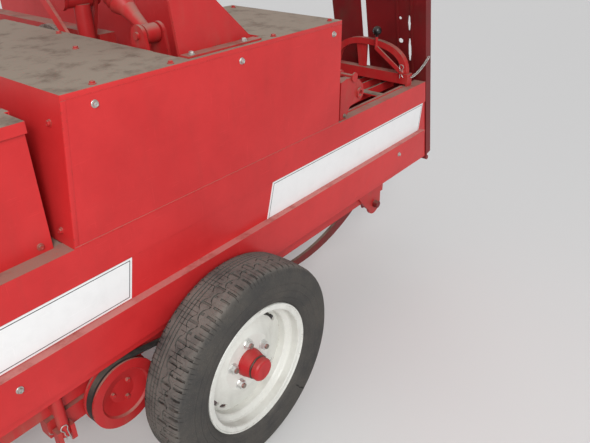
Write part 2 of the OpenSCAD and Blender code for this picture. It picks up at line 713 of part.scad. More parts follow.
// Gearbox, flywheel and drive shaft
module gearbox() place(red) {
  difference() {
    union() {
      block([chamber_front - 180, chamber_front - 10], [-160, 160], [floor_z + 40, top_z + 70]);
      bar_x([chamber_front - 20, 0, input_z], 70, 60);
      for (x = [chamber_front - 180, chamber_front - 40], y = [-160, 130])
        block([x, x + 30], [y, y + 30], [floor_z, floor_z + 41]);
    }
    bar_x([chamber_front - 70, 0, input_z], 140, 22 + run_gap);
  }
}
module flywheel() place(red) {
  difference() {
    union() {
      bar_x([fly_x, 0, input_z], 60, flywheel_r);
      bar_x([fly_x - 20, 0, input_z], 110, 70);
      bar_x([chamber_front - 60, 0, input_z], fly_x - chamber_front + 60, 22);
    }
    difference() {
      bar_x([fly_x + 20, 0, input_z], 50, flywheel_r - 35);
      bar_x([fly_x - 20, 0, input_z], 110, 70);
    }
  }
}
module pto_shaft() place(dark) {
  bar_x([fly_x + 90, 0, input_z], 100, 32);
  bar_x([fly_x + 190, 0, input_z], 600, 52);
  bar_x([fly_x + 790, 0, input_z], 90, 32);
}

// Drawbar
module drawbar_bracket() place(red) {
  block([pivot_x - 90, pivot_x + 60], [-wall_in, wall_in], [under_z - 8, under_z]);
  block([pivot_x - 90, pivot_x + 60], [-80, 80], [beam_z - 55, beam_z - 45]);
  block([pivot_x - 90, pivot_x - 82], [-80, 80], [beam_z - 45, under_z - 8]);
  bar_z([pivot_x, 0, beam_z - 45], under_z - 8 - beam_z + 45, pivot_r);
}
module drawbar() place(red) {
  difference() {
    union() {
      bar_z([pivot_x, 0, beam_z - drawbar_h / 2], drawbar_h, drawbar_w / 2 + 8);
      bar_z([pivot_x, 0, beam_z - 44.7], under_z - 8.3 - beam_z + 44.7, 40);
      block([pivot_x, hitch_x - 60], [-drawbar_w / 2, drawbar_w / 2], [beam_z - drawbar_h / 2, beam_z + drawbar_h / 2]);
      for (z = [beam_z - drawbar_h / 2, beam_z + drawbar_h / 2 - 16]) {
        block([hitch_x - 120, hitch_x], [-40, 40], [z, z + 16]);
        bar_z([hitch_x, 0, z], 16, 40);
      }
    }
    bar_z([pivot_x, 0, 300], 200, pivot_r + run_gap);
    bar_z([hitch_x, 0, 300], 200, hitch_r);
    bar_y([stand_x, drawbar_w / 2 - 45, beam_z], 60, 14 + run_gap);
  }
}
stand_x = 1900;
stand_y = 120;
module stand_leg() place(red) {
  bar_z([stand_x, stand_y, 8], 560, 25);
  bar_z([stand_x, stand_y, 0], 10, 60);
  bar_y([stand_x, drawbar_w / 2 - 40, beam_z], stand_y - drawbar_w / 2 + 40, 14);
}

// Twine box ahead of the hood, its lid and the sloping shield ahead of it
box_x0 = hood_front + hood_lean + 25;
box_x1 = box_x0 + 400;
box_y = in_y + 6;
box_h = hood_h - 46;
module twine_box() place(red) {
  box_shell();
  box_hinge();
}
module box_shell() difference() {
  block([box_x0, box_x1], [-box_y, box_y], [top_z, top_z + box_h]);
  block([box_x0 + 3, box_x1 - 3], [-box_y + 3, box_y - 3], [top_z + 3, top_z + box_h + e]);
}
hinge_x = box_x0 - 7;
hinge_z = top_z + box_h - 8;
module box_hinge() {
  bar_y([hinge_x, -120, hinge_z], 240, 3);
  for (y = [-90, 60]) {
    bar_y([hinge_x, y, hinge_z], 30, 6.7);
    block([hinge_x, box_x0], [y, y + 30], [hinge_z - 6, hinge_z]);
  }
}
module twine_lid() place(red) {
  lid_z = top_z + box_h;
  difference() {
    block([box_x0 - 2, box_x1 + 8], [-box_y - 8, box_y + 8], [lid_z - 22, lid_z + 3.3]);
    block([box_x0 - 3, box_x1 + 5], [-box_y - 5, box_y + 5], [lid_z - 23, lid_z + 0.3]);
  }
  difference() {
    for (y = [-122, 92]) {
      bar_y([hinge_x, y, hinge_z], 30, 6.7);
      block([hinge_x - 6.7, hinge_x - 3.7], [y, y + 30], [hinge_z, lid_z + 3.3]);
      block([hinge_x - 6.7, box_x0], [y, y + 30], [lid_z + 0.3, lid_z + 3.3]);
    }
    bar_y([hinge_x, -130, hinge_z], 260, 3 + run_gap);
  }
}
module front_shield() place(red) {
  lift = 200;
  foot = box_x1 + 220;
  slab_y(-190, 190) polygon([[box_x1, top_z + lift], [box_x1, top_z + lift + 5], [foot, top_z + 5], [foot, top_z],
    [foot - 6, top_z]]);
}

// Rear top: metering wheel, density frame, lever, bracket
meter_x = -800;
meter_z = top_z + 60;
module metering_wheel() place(steel) {
  difference() {
    bar_y([meter_x, -6, meter_z], 12, 110);
    for (i = [0:9]) translate([meter_x, 0, meter_z]) rotate([0, i * 36, 0]) bar_y([118, -10, 0], 20, 28);
  }
  bar_y([meter_x, -45, meter_z], 90, 10);
}
frame_x = -1190;
module density_frame() place(red) {
  difference() {
    block([frame_x - 20, frame_x + 20], [-205, 205], [top_z + 8, top_z + 48]);
    block([frame_x - 16, frame_x + 16], [-205 - e, 205 + e], [top_z + 7, top_z + 44]);
  }
  for (s = [-1, 1]) block([frame_x - 20, frame_x + 20], [s * 205, s * 213], [top_z, top_z + 48]);
  slab_x(frame_x - 13, frame_x + 13) difference() {
    bow_outline(0);
    bow_outline(24);
    translate([-300, 0]) square([600, top_z + 40]);
  }
  slab_x(frame_x - 5, frame_x + 5) polygon([[-30, top_z + 44], [4, top_z + 44], [4, bow_z + bow_h - 10],
    [-48, bow_z + bow_h - 12]]);
}
// The bow over the density frame, steeper on its right
bow_z = top_z + 35;
bow_h = 132;
function bow_point(t, w, h) = [w * pow(abs(cos(t)), 0.8) * sign(cos(t)), bow_z + h * pow(sin(t), 0.8)];
module bow_outline(g) {
  n = 24;
  polygon(concat([for (i = [0:n]) let(t = i * 180 / n) bow_point(t, (t < 90 ? 203 : 158) - g, bow_h - g)],
    [[-158 + g, top_z - 1], [203 - g, top_z - 1]]));
}
module knob_lever() place(steel) {
  x = frame_x + 22;
  slab_x(x, x + 8) polygon([[198, top_z + 56], [184, top_z + 48], [56, top_z + 134], [64, top_z + 148]]);
  bar_z([x + 4, 62, top_z + 138], 58, 6);
  translate([x + 4, 62, top_z + 205]) sphere(r = 18);
  bar_x([frame_x + 13.3, 189, top_z + 56], 22, 7);
}
module rear_bracket() place(red) {
  x = -hood_rear;
  difference() {
    union() {
      slab_y(skin_y - 35, skin_y - 8) polygon([[x - 20, top_z], [x - 20, top_z + 134], [x - 52, top_z + 141],
        [x - 100, top_z + 136], [x - 120, top_z + 128], [x - 98, top_z + 60], [x - 74, top_z + 31],
        [x - 56, top_z]]);
      slab_y(skin_y - 27, skin_y - 15) union() {
        polygon([[x - 70, top_z + 30], [x - 110, top_z + 133], [x - 142, top_z + 118], [x - 172, top_z + 92],
          [x - 150, top_z + 42]]);
        translate([x - 146, top_z + 70]) circle(r = 30);
      }
      bar_y([x - 146, skin_y - 35, top_z + 70], 27, 19);
    }
    bar_y([x - 146, skin_y - 60, top_z + 70], 80, 11);
    slab_y(skin_y - 40, skin_y - 12) polygon([[x - 28, top_z + 10], [x - 28, top_z + 126], [x - 90, top_z + 128],
      [x - 66, top_z + 40], [x - 50, top_z + 10]]);
  }
  bar_y([x - 92, skin_y - 62, top_z + 139], 62, 8);
  for (y = [skin_y - 62, skin_y - 5]) bar_y([x - 92, y, top_z + 139], 5, 16);
}

// Folded chute with its flanges, slots and hinge, and the lugs that carry it
module chute_local() {
  f = chute_off;
  difference() {
    union() {
      block([f, f + 3], [-chute_far, skin_y], [20, chute_l]);
      for (y = [-chute_far, skin_y - 3]) block([f - chute_d, f + 3], [y, y + 3], [20, chute_l]);
      block([f - chute_d, f], [-chute_far, skin_y], [chute_l - 3, chute_l]);
      for (y = [108, 172]) block([f, f + 7], [y, y + 8], [20, chute_l]);
    }
    block([f - 5, f + 10], [-60, -35], [405, 790]);
    for (z = [[473, 569], [603, 664]]) translate([f - 5, 0, 0]) slab_x(0, 15)
      polygon([[162, z[0]], [167, z[0]], [174, z[0] + 30], [174, z[1] - 30], [168, z[1]], [163, z[1]],
        [159, z[1] - 30], [159, z[0] + 30]]);
    for (z = [555, 650, 457]) bar_x([f - 5, 125, z], 15, z == 555 ? 10 : 6);
    for (s = [-1, 1]) block([f - 5, f + 10], [s * 125, s * 155], [10, 60]);
  }
  bar_y([0, -chute_far, 0], skin_y + chute_far, 6);
  for (y = [-chute_far, -110, 50, skin_y - 55]) {
    bar_y([0, y, 0], 55, 10);
    block([0, f + 3], [y, y + 55], [0, 22]);
  }
}
module bale_chute() place(red)
  translate([-chute_x, 0, chute_z]) rotate([0, chute_lean, 0]) chute_local();
module chute_lugs() {
  for (s = [-1, 1]) difference() {
    slab_y(s * 135, s * 145) union() {
      polygon([[-chamber_rear + 60, base_z + 1], [-chamber_rear, base_z + 1], [-chute_x, chute_z + 12],
        [-chute_x, chute_z - 12], [-chamber_rear + 10, chute_z - 14]]);
      translate([-chute_x, chute_z]) circle(r = 12);
    }
    bar_y([-chute_x, -200, chute_z], 400, 6 + run_gap);
  }
}
module chute_chain() place(steel) {
  rod([frame_x - 6, 216, top_z + 30], [-1285, 250, 985], 3);
}
left_wall();
right_wall();
chamber_floor();
top_cover();
left_rail();
chassis();
hood();
tower();
feed_housing();
feeder_forks();
feeder_rocker();
feeder_strut();
feeder_crank();
knotters();
needle_frame();
axle();
tyre_left();
rim_left();
hub_left();
tyre_right();
rim_right();
hub_right();
pickup_drive();
drive_belt();
belt_pulley();
pickup_frame();
pickup_strippers();
pickup_reel();
wind_guard();
gauge_wheel();
gearbox();
flywheel();
pto_shaft();
drawbar_bracket();
drawbar();
stand_leg();
twine_box();
twine_lid();
front_shield();
metering_wheel();
density_frame();
knob_lever();
rear_bracket();
bale_chute();
chute_chain();
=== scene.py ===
"""Looks of a side-fed square baler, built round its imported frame."""
import math

import bmesh
import bpy
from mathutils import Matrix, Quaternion, Vector


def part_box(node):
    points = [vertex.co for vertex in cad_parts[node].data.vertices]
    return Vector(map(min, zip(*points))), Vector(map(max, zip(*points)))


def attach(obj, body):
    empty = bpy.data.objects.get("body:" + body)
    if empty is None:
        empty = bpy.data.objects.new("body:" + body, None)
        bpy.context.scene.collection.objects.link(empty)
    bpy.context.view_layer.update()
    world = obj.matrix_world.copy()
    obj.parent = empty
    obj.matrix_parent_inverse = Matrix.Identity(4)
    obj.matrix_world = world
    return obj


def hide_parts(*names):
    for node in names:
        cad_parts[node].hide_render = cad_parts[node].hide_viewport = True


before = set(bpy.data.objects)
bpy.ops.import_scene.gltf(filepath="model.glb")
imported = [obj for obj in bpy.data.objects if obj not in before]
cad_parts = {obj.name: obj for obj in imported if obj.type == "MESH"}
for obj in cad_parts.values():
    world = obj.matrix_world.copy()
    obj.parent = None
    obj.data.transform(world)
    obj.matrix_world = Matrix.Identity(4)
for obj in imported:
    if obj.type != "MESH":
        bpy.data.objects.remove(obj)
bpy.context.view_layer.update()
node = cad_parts

# The machine's own zero: below the axle, on the chamber's centre line
tyre_low, tyre_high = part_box("tyre_left")
floor_low, floor_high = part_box("chamber_floor")
zero = Vector(((tyre_low.x + tyre_high.x) / 2, (floor_low.y + floor_high.y) / 2, 0))


def at(x, y, z):
    """A point given forward of the axle, left of the centre line and above the ground."""
    return zero + Vector((x, y, z))


# Metres, measured as in at(): wheels, outer faces on the left side, hood's roof, pulley and reel
WHEEL_Y, TRACK, TYRE_R = 0.361, 2.080, 0.328
HOOD_SIDE, WALL, RAIL, ROOF = 0.239, 0.235, 0.260, 1.206
PULLEY_X, PULLEY_Z = 0.339, 0.393
REEL_X, REEL_Z = 0.690, 0.400

# Camera at the photograph's angle
LENS, SENSOR = 34.92, 36.0
CAMERA_PLACE, CAMERA_TURN = (0.92007, 1.29297, 1.54565), (60.389, 0.294, 128.416)
camera_data = bpy.data.cameras.new("photo_camera")
camera_data.lens, camera_data.sensor_width = LENS, SENSOR
camera = bpy.data.objects.new("photo_camera", camera_data)
bpy.context.scene.collection.objects.link(camera)
camera.location = at(*CAMERA_PLACE)
camera.rotation_euler = [math.radians(a) for a in CAMERA_TURN]
bpy.context.scene.camera = camera
bpy.context.scene.view_settings.view_transform = "Standard"


# Shader building blocks
def feed(tree, socket, value):
    """An input linked to another node's output, or set to a value."""
    if isinstance(value, bpy.types.NodeSocket):
        tree.links.new(value, socket)
    else:
        socket.default_value = value


def add(tree, kind, **values):
    """A node in a tree, with its inputs and settings given by name."""
    made = tree.nodes.new("ShaderNode" + kind)
    for name, value in values.items():
        socket = made.inputs.get(name.replace("_", " "))
        if socket is None:
            setattr(made, name, value)
        else:
            feed(tree, socket, value)
    return made


def math_node(tree, how, a, b=0.0, clamp=True):
    made = add(tree, "Math", operation=how, use_clamp=clamp)
    feed(tree, made.inputs[0], a)
    feed(tree, made.inputs[1], b)
    return made.outputs[0]


def times(tree, a, b):
    return math_node(tree, "MULTIPLY", a, b)


def opposite(tree, mask):
    """1 where the mask is 0, and 0 where it is 1."""
    return math_node(tree, "SUBTRACT", 1.0, mask)


def blend(tree, mask, low, high):
    """A colour mixed from low to high by a mask."""
    made = add(tree, "Mix", data_type="RGBA")
    for number, value in ((0, mask), (6, low), (7, high)):
        feed(tree, made.inputs[number], (*value, 1) if isinstance(value, tuple) else value)
    return made.outputs[2]


def ramp(tree, value, low, high):
    """Where value lies between low and high, from 0 to 1."""
    return add(tree, "MapRange", interpolation_type="SMOOTHSTEP", Value=value, From_Min=low,
               From_Max=high).outputs["Result"]


def stretched(tree, scale=(1, 1, 1)):
    """Object coordinates drawn out by a scale for each axis."""
    place = add(tree, "TexCoord").outputs["Object"]
    return add(tree, "Mapping", Vector=place, Scale=scale).outputs[0]


def noise(tree, scale, detail, rough, stretch=(1, 1, 1)):
    return add(tree, "TexNoise", Vector=stretched(tree, stretch), Scale=scale, Detail=detail,
               Roughness=rough).outputs[0]


def bump(tree, shader, height, strength, distance):
    made = add(tree, "Bump", Height=height, Strength=strength, Distance=distance)
    tree.links.new(made.outputs[0], shader.inputs["Normal"])


def spread(tree, shader, label, mask, low, high):
    """A value of the shader that goes from low to high with a mask."""
    made = add(tree, "MapRange", Value=mask, To_Min=low, To_Max=high)
    tree.links.new(made.outputs[0], shader.inputs[label])


def group_of(name, inputs, outputs):
    """An empty node group with float inputs and named outputs."""
    tree = bpy.data.node_groups.new(name, "ShaderNodeTree")
    for label, value in inputs:
        socket = tree.interface.new_socket(label, in_out="INPUT", socket_type="NodeSocketFloat")
        socket.default_value = value
    for label in outputs:
        tree.interface.new_socket(label, in_out="OUTPUT", socket_type="NodeSocketFloat")
    return tree, tree.nodes.new("NodeGroupInput"), tree.nodes.new("NodeGroupOutput")


def give_mask(tree, given, result, mask):
    """A group's mask, scaled by its amount."""
    tree.links.new(times(tree, mask, given.outputs["Amount"]), result.inputs["Mask"])
    return tree


def dust_group():
    """Dust that lies on what faces up, thicker in patches."""
    tree, given, result = group_of("settled_dust", [("Amount", 1.0), ("Cover", 0.3)], ["Mask", "Tone"])
    up = add(tree, "SeparateXYZ", Vector=add(tree, "NewGeometry").outputs["Normal"]).outputs["Z"]
    patch = math_node(tree, "ADD", noise(tree, 9.0, 8.0, 0.62), given.outputs["Cover"], clamp=False)
    specks = noise(tree, 160.0, 3.0, 0.5)
    lying = times(tree, ramp(tree, up, 0.35, 0.95), ramp(tree, patch, 0.45, 0.85))
    lying = times(tree, lying, ramp(tree, specks, 0.05, 0.42))
    tone = noise(tree, 14.0, 9.0, 0.68)
    tree.links.new(ramp(tree, tone, 0.46, 0.72), result.inputs["Tone"])
    return give_mask(tree, given, result, lying)


def grime_group():
    """A thin film of dirt with runs down the sides."""
    tree, given, result = group_of("grime_runs", [("Amount", 1.0), ("Run Width", 40.0)], ["Mask"])
    runs = ramp(tree, noise(tree, given.outputs["Run Width"], 5.0, 0.5, (1, 1, 0.12)), 0.35, 0.8)
    cloud = ramp(tree, noise(tree, 5.0, 9.0, 0.65), 0.4, 0.75)
    return give_mask(tree, given, result, times(tree, runs, cloud))


def chip_group():
    """Small chips and rubbed places, mostly along edges."""
    tree, given, result = group_of("chipped_edges", [("Amount", 1.0), ("Edge Width", 0.004)], ["Mask"])
    turn = add(tree, "VectorMath", operation="DOT_PRODUCT")
    feed(tree, turn.inputs[0], add(tree, "Bevel", samples=4, Radius=given.outputs["Edge Width"]).outputs[0])
    feed(tree, turn.inputs[1], add(tree, "NewGeometry").outputs["Normal"])
    edge = opposite(tree, ramp(tree, turn.outputs["Value"], 0.86, 0.995))
    chips = times(tree, edge, ramp(tree, noise(tree, 90.0, 6.0, 0.7), 0.52, 0.62))
    spots = ramp(tree, noise(tree, 38.0, 8.0, 0.75), 0.70, 0.74)
    return give_mask(tree, given, result, math_node(tree, "MAXIMUM", chips, spots))


def scratch_group():
    """Fine scratches, long along one direction."""
    tree, given, result = group_of("fine_scratches", [("Amount", 1.0)], ["Mask"])
    lines = ramp(tree, noise(tree, 6.0, 4.0, 0.5, (2, 30, 60)), 0.66, 0.72)
    cross = ramp(tree, noise(tree, 5.0, 4.0, 0.5, (55, 14, 3)), 0.67, 0.73)
    return give_mask(tree, given, result, math_node(tree, "MAXIMUM", lines, cross))


DUST, GRIME, CHIPS, SCRATCHES = dust_group(), grime_group(), chip_group(), scratch_group()


def use(tree, group, **values):
    """A group placed in a tree, with its inputs set by name."""
    made = tree.nodes.new("ShaderNodeGroup")
    made.node_tree = group
    for name, value in values.items():
        made.inputs[name].default_value = value
    return made


# Materials
def new_material(name, shown):
    material = bpy.data.materials.new(name)
    material.use_nodes = True
    material.diffuse_color = (*shown, 1)
    tree = material.node_tree
    return material, tree, tree.nodes["Principled BSDF"]


def paint(piece, *materials):
    """The piece's only materials."""
    piece.data.materials.clear()
    for material in materials:
        piece.data.materials.append(material)


DUST_TAN = (0.275, 0.220, 0.170)
DUST_BROWN = (0.150, 0.108, 0.080)
SOIL = (0.085, 0.050, 0.032)
RUST = (0.105, 0.034, 0.016)


def dusted(tree, colour, amount, cover, tan=DUST_TAN):
    """A colour under settled dust, and how much of it is covered."""
    dust = use(tree, DUST, Amount=amount, Cover=cover)
    laid = blend(tree, dust.outputs["Tone"], tan, DUST_BROWN)
    return blend(tree, dust.outputs["Mask"], colour, laid), dust.outputs["Mask"]


def sheet_paint(name, bright, deep, grime, chips, dust=1.0, cover=0.3, rough=0.36, tan=DUST_TAN, soil=SOIL):
    """Gloss paint on steel sheet, gone dull in patches, with dust, grime and rust at its chips."""
    material, tree, shader = new_material(name, bright)
    colour = blend(tree, ramp(tree, noise(tree, 2.6, 9.0, 0.62), 0.3, 0.72), bright, deep)
    mottle = times(tree, ramp(tree, noise(tree, 22.0, 6.0, 0.7), 0.42, 0.8), 0.14)
    colour = blend(tree, mottle, colour, tuple(c * 0.62 for c in deep))
    scratch = use(tree, SCRATCHES, Amount=0.2).outputs["Mask"]
    colour = blend(tree, scratch, colour, tuple(min(1, c * 1.25 + 0.03) for c in bright))
    film = use(tree, GRIME, Amount=grime).outputs["Mask"]
    colour = blend(tree, film, colour, soil)
    chip = use(tree, CHIPS, Amount=chips).outputs["Mask"]
    colour = blend(tree, chip, colour, RUST)
    colour, lying = dusted(tree, colour, dust, cover, tan)
    tree.links.new(colour, shader.inputs["Base Color"])
    matt = math_node(tree, "MAXIMUM", lying, math_node(tree, "MAXIMUM", film, chip))
    spread(tree, shader, "Roughness", matt, rough, 0.92)
    shader.inputs["Specular IOR Level"].default_value = 0.32
    dents = noise(tree, 7.0, 2.0, 0.4)
    grit = times(tree, noise(tree, 420.0, 2.0, 0.5), math_node(tree, "ADD", lying, 0.12))
    height = math_node(tree, "ADD", dents, times(tree, grit, 0.12), clamp=False)
    height = math_node(tree, "SUBTRACT", height, times(tree, chip, 0.06), clamp=False)
    bump(tree, shader, height, 0.35, 0.006)
    return material


def bare_metal(name, bright, stained, rust, dust, rough=0.34, metallic=0.9):
    """Plated or worn steel with stains, rust specks and a little dust."""
    material, tree, shader = new_material(name, bright)
    stain = noise(tree, 60.0, 8.0, 0.7)
    colour = blend(tree, ramp(tree, stain, 0.35, 0.7), bright, stained)
    specks = times(tree, ramp(tree, noise(tree, 130.0, 7.0, 0.75), 0.55, 0.68), rust)
    colour = blend(tree, specks, colour, RUST)
    colour, lying = dusted(tree, colour, dust, 0.2)
    tree.links.new(colour, shader.inputs["Base Color"])
    dull = math_node(tree, "MAXIMUM", specks, lying)
    matt = math_node(tree, "MAXIMUM", dull, ramp(tree, stain, 0.3, 0.8))
    spread(tree, shader, "Metallic", dull, metallic, 0.0)
    spread(tree, shader, "Roughness", matt, rough, 0.8)
    bump(tree, shader, noise(tree, 240.0, 5.0, 0.7), 0.25, 0.0012)
    return material


def around_wheel(tree, turns):
    """Distance from the wheels' axis, and the angle round it in steps of which a turn has so many."""
    centre = at(0, 0, TYRE_R)
    place = add(tree, "TexCoord").outputs["Object"]
    moved = add(tree, "Mapping", Vector=place, Location=(-centre.x, 0, -centre.z)).outputs[0]
    split = add(tree, "SeparateXYZ", Vector=moved)
    flat = add(tree, "CombineXYZ", X=split.outputs["X"], Z=split.outputs["Z"]).outputs[0]
    radius = add(tree, "VectorMath", operation="LENGTH", Vector=flat)
    angle = math_node(tree, "ARCTAN2", split.outputs["Z"], split.outputs["X"], clamp=False)
    return radius.outputs["Value"], math_node(tree, "MULTIPLY", angle, turns / math.tau, clamp=False)


# Marks on the rubber: how many cuts, the angle of the split, and the radii over which each sets in or ends
CUTS, CUTS_FROM, WORN_FROM = 144, (0.300, 0.318), (0.316, 0.3255)
SPLIT_TURN, SPLIT_FROM, SPLIT_TO = -0.3557, (0.238, 0.246), (0.300, 0.306)
RING_PITCH, RING_EDGE, RINGS_TO = 0.011, (0.0085, 0.0108), (0.288, 0.296)


def tread_cuts(tree, radius, count):
    """Thin cuts across the tread, in some of its blocks."""
    cuts = math_node(tree, "PINGPONG", count, 0.5, clamp=False)
    cuts = times(tree, opposite(tree, ramp(tree, cuts, 0.0, 0.09)), ramp(tree, radius, *CUTS_FROM))
    return times(tree, cuts, ramp(tree, noise(tree, 26.0, 2.0, 0.5), 0.46, 0.54))


def wall_split(tree, radius):
    """One wavering crack along the radius of the wall."""
    wander = times(tree, noise(tree, 55.0, 4.0, 0.6), 0.012)
    away = math_node(tree, "ADD", around_wheel(tree, 1)[1], wander, clamp=False)
    away = math_node(tree, "ABSOLUTE", math_node(tree, "SUBTRACT", away, SPLIT_TURN, clamp=False))
    split = times(tree, opposite(tree, ramp(tree, away, 0.0006, 0.0018)), ramp(tree, radius, *SPLIT_FROM))
    return times(tree, split, opposite(tree, ramp(tree, radius, *SPLIT_TO)))


def tyre_rubber(name):
    """Weathered rubber: dusty tread with cuts across its blocks, rings, cracks and a split on the wall."""
    material, tree, shader = new_material(name, (0.05, 0.048, 0.045))
    radius, count = around_wheel(tree, CUTS)
    cuts, split = tread_cuts(tree, radius, count), wall_split(tree, radius)
    cloud = noise(tree, 8.0, 9.0, 0.66)
    colour = blend(tree, ramp(tree, cloud, 0.3, 0.7), (0.042, 0.041, 0.040), (0.072, 0.066, 0.058))
    worn = times(tree, ramp(tree, radius, *WORN_FROM), ramp(tree, noise(tree, 16.0, 8.0, 0.7), 0.25, 0.6))
    colour = blend(tree, worn, colour, (0.132, 0.122, 0.108))
    fine = times(tree, ramp(tree, noise(tree, 300.0, 4.0, 0.7), 0.5, 0.75), 0.4)
    colour = blend(tree, fine, colour, (0.17, 0.145, 0.12))
    colour = blend(tree, times(tree, cuts, 0.8), colour, (0.018, 0.015, 0.013))
    colour = blend(tree, split, colour, (0.012, 0.010, 0.009))
    colour, _ = dusted(tree, colour, 0.55, 0.1, (0.220, 0.200, 0.172))
    tree.links.new(colour, shader.inputs["Base Color"])
    shader.inputs["Roughness"].default_value = 0.86
    shader.inputs["Specular IOR Level"].default_value = 0.3
    rings = ramp(tree, math_node(tree, "PINGPONG", radius, RING_PITCH, clamp=False), *RING_EDGE)
    rings = times(tree, rings, opposite(tree, ramp(tree, radius, *RINGS_TO)))
    cells = add(tree, "TexVoronoi", Vector=stretched(tree), feature="DISTANCE_TO_EDGE", Scale=46.0)
    cracks = opposite(tree, ramp(tree, cells.outputs["Distance"], 0.0, 0.035))
    cracks = times(tree, cracks, ramp(tree, cloud, 0.5, 0.62))
    grain = times(tree, noise(tree, 180.0, 5.0, 0.65), 0.2)
    height = math_node(tree, "ADD", grain, times(tree, rings, 0.5), clamp=False)
    for pressed in (times(tree, cuts, 1.2), times(tree, cracks, 0.35), split):
        height = math_node(tree, "SUBTRACT", height, pressed, clamp=False)
    bump(tree, shader, height, 0.7, 0.0035)
    return material


def plain_rubber(name, colour, worn, rough=0.7, weave=0.0):
    """Belt rubber, moulded plastic, black print, and the dark brown of a painted shadow line and an uneven
    dark hub ring, with scuffs and fine grain.
    """
    material, tree, shader = new_material(name, colour)
    scuff = ramp(tree, noise(tree, 30.0, 9.0, 0.7), 0.5, 0.75)
    made, lying = dusted(tree, blend(tree, scuff, colour, worn), 0.5, 0.15)
    tree.links.new(made, shader.inputs["Base Color"])
    spread(tree, shader, "Roughness", math_node(tree, "MAXIMUM", scuff, lying), rough, 0.92)
    bump(tree, shader, noise(tree, 320.0, 4.0, 0.6, (1, 1 + weave, 1)), 0.3, 0.001)
    return material


RED, RED_DEEP = (0.600, 0.0300, 0.0310), (0.505, 0.0195, 0.0210)
hood_red = sheet_paint("dusty_hood_red", RED, RED_DEEP, cover=0.50, grime=0.10, chips=0.45)
wall_red = sheet_paint("chamber_wall_red", RED, RED_DEEP, dust=0.8, cover=0.3, grime=0.12, chips=0.5)
# The rail's up-facing ledge takes dust in a pale pink tone: real dust, lightened as a painted highlight where
# the ledge catches light
rail_red_dust_and_highlight = sheet_paint("rail_red_dust_and_highlight", RED, RED_DEEP, dust=0.5, cover=0.5, grime=0.10, chips=0.5,
                       tan=(0.50, 0.33, 0.29))
part_red = sheet_paint("rubbed_part_red", (0.50, 0.022, 0.023), (0.37, 0.015, 0.016), dust=0.8, cover=0.25,
                       grime=0.75, chips=1.0, rough=0.42, soil=(0.26, 0.120, 0.085))
shade_red = sheet_paint("shaded_inner_red", (0.21, 0.008, 0.010), (0.12, 0.007, 0.008), dust=0.8, grime=0.9,
                        chips=1.0, rough=0.5)
hub_red = sheet_paint("greasy_hub_red", (0.52, 0.022, 0.026), (0.38, 0.015, 0.018), dust=0.4, cover=0.1,
                      grime=1.0, chips=1.0, rough=0.42, soil=(0.060, 0.022, 0.015))
rim_white = sheet_paint("scuffed_rim_white", (0.74, 0.74, 0.69), (0.62, 0.62, 0.57), dust=0.3, cover=0.1,
                        grime=0.3, chips=0.6, rough=0.38)
plate_white = sheet_paint("plate_white", (0.82, 0.82, 0.81), (0.79, 0.79, 0.78), dust=0.1, grime=0.04,
                          chips=0.1, rough=0.35)
line_black = plain_rubber("border_line_black", (0.012, 0.012, 0.013), (0.03, 0.03, 0.03), 0.45)
bright_zinc = bare_metal("bright_zinc", (0.82, 0.82, 0.81), (0.60, 0.60, 0.58), rough=0.3, rust=0.1, dust=0.1)
zinc = bare_metal("dulled_zinc", (0.62, 0.62, 0.60), (0.36, 0.35, 0.32), rust=0.25, dust=0.1)
raw_steel = bare_metal("brown_worn_steel", (0.33, 0.29, 0.26), (0.16, 0.115, 0.085), rough=0.5, metallic=0.75,
                       rust=0.9, dust=0.6)
cast_grey = bare_metal("rusty_casting", (0.17, 0.13, 0.11), (0.10, 0.065, 0.045), rough=0.65, metallic=0.4,
                       rust=1.0, dust=0.7)
rubber = tyre_rubber("weathered_tyre_rubber")
belt_rubber = plain_rubber("frayed_belt_rubber", (0.030, 0.027, 0.025), (0.085, 0.070, 0.058), weave=3)
guard_black = plain_rubber("shaft_guard_black", (0.020, 0.020, 0.021), (0.055, 0.052, 0.05), 0.5)
knob_black = plain_rubber("knob_black", (0.010, 0.010, 0.010), (0.03, 0.03, 0.03), 0.22)
painted_shadow_and_ring_brown = plain_rubber("painted_shadow_and_ring_brown", (0.045, 0.026, 0.018), (0.085, 0.055, 0.036), 0.40)

# Solids that aren't in this list take part_red
finish_of = {
    "hood": hood_red, "top_cover": hood_red, "twine_lid": hood_red, "left_wall": wall_red,
    "right_wall": wall_red, "front_shield": wall_red, "feed_housing": wall_red, "twine_box": wall_red,
    "left_rail": rail_red_dust_and_highlight, "chamber_floor": shade_red, "needle_frame": shade_red, "axle": shade_red,
    "bale_chute": shade_red, "rim_left": rim_white, "rim_right": rim_white, "hub_left": hub_red,
    "hub_right": hub_red, "feeder_crank": raw_steel, "knotters": cast_grey, "pickup_reel": raw_steel,
    "wind_guard": raw_steel, "metering_wheel": raw_steel, "gauge_wheel": rubber, "belt_pulley": cast_grey,
    "drive_belt": belt_rubber, "pto_shaft": guard_black, "chute_chain": zinc, "tyre_left": rubber,
    "tyre_right": rubber,
}
for name, made in node.items():
    paint(made, finish_of.get(name, part_red))


# Modelling
def leave_edit():
    bpy.ops.object.mode_set(mode="OBJECT")


def clear_selection():
    """Object mode, with nothing selected."""
    if bpy.context.object and bpy.context.object.mode == "EDIT":
        leave_edit()
    bpy.ops.object.select_all(action="DESELECT")


def take(piece):
    """This piece alone is selected and active."""
    clear_selection()
    piece.select_set(True)
    bpy.context.view_layer.objects.active = piece


def settle():
    """The selected piece's place and turn, moved into its mesh."""
    bpy.ops.object.transform_apply(location=True, rotation=True, scale=True)


def begin(kind, **values):
    """A primitive added at its place, with that place in its mesh."""
    clear_selection()
    getattr(bpy.ops.mesh, "primitive_" + kind + "_add")(**values)
    settle()
    return bpy.context.object


def middle_of(part):
    """The middle of an edge or a face."""
    if isinstance(part, bmesh.types.BMEdge):
        return (part.verts[0].co + part.verts[1].co) / 2
    return part.calc_center_median()


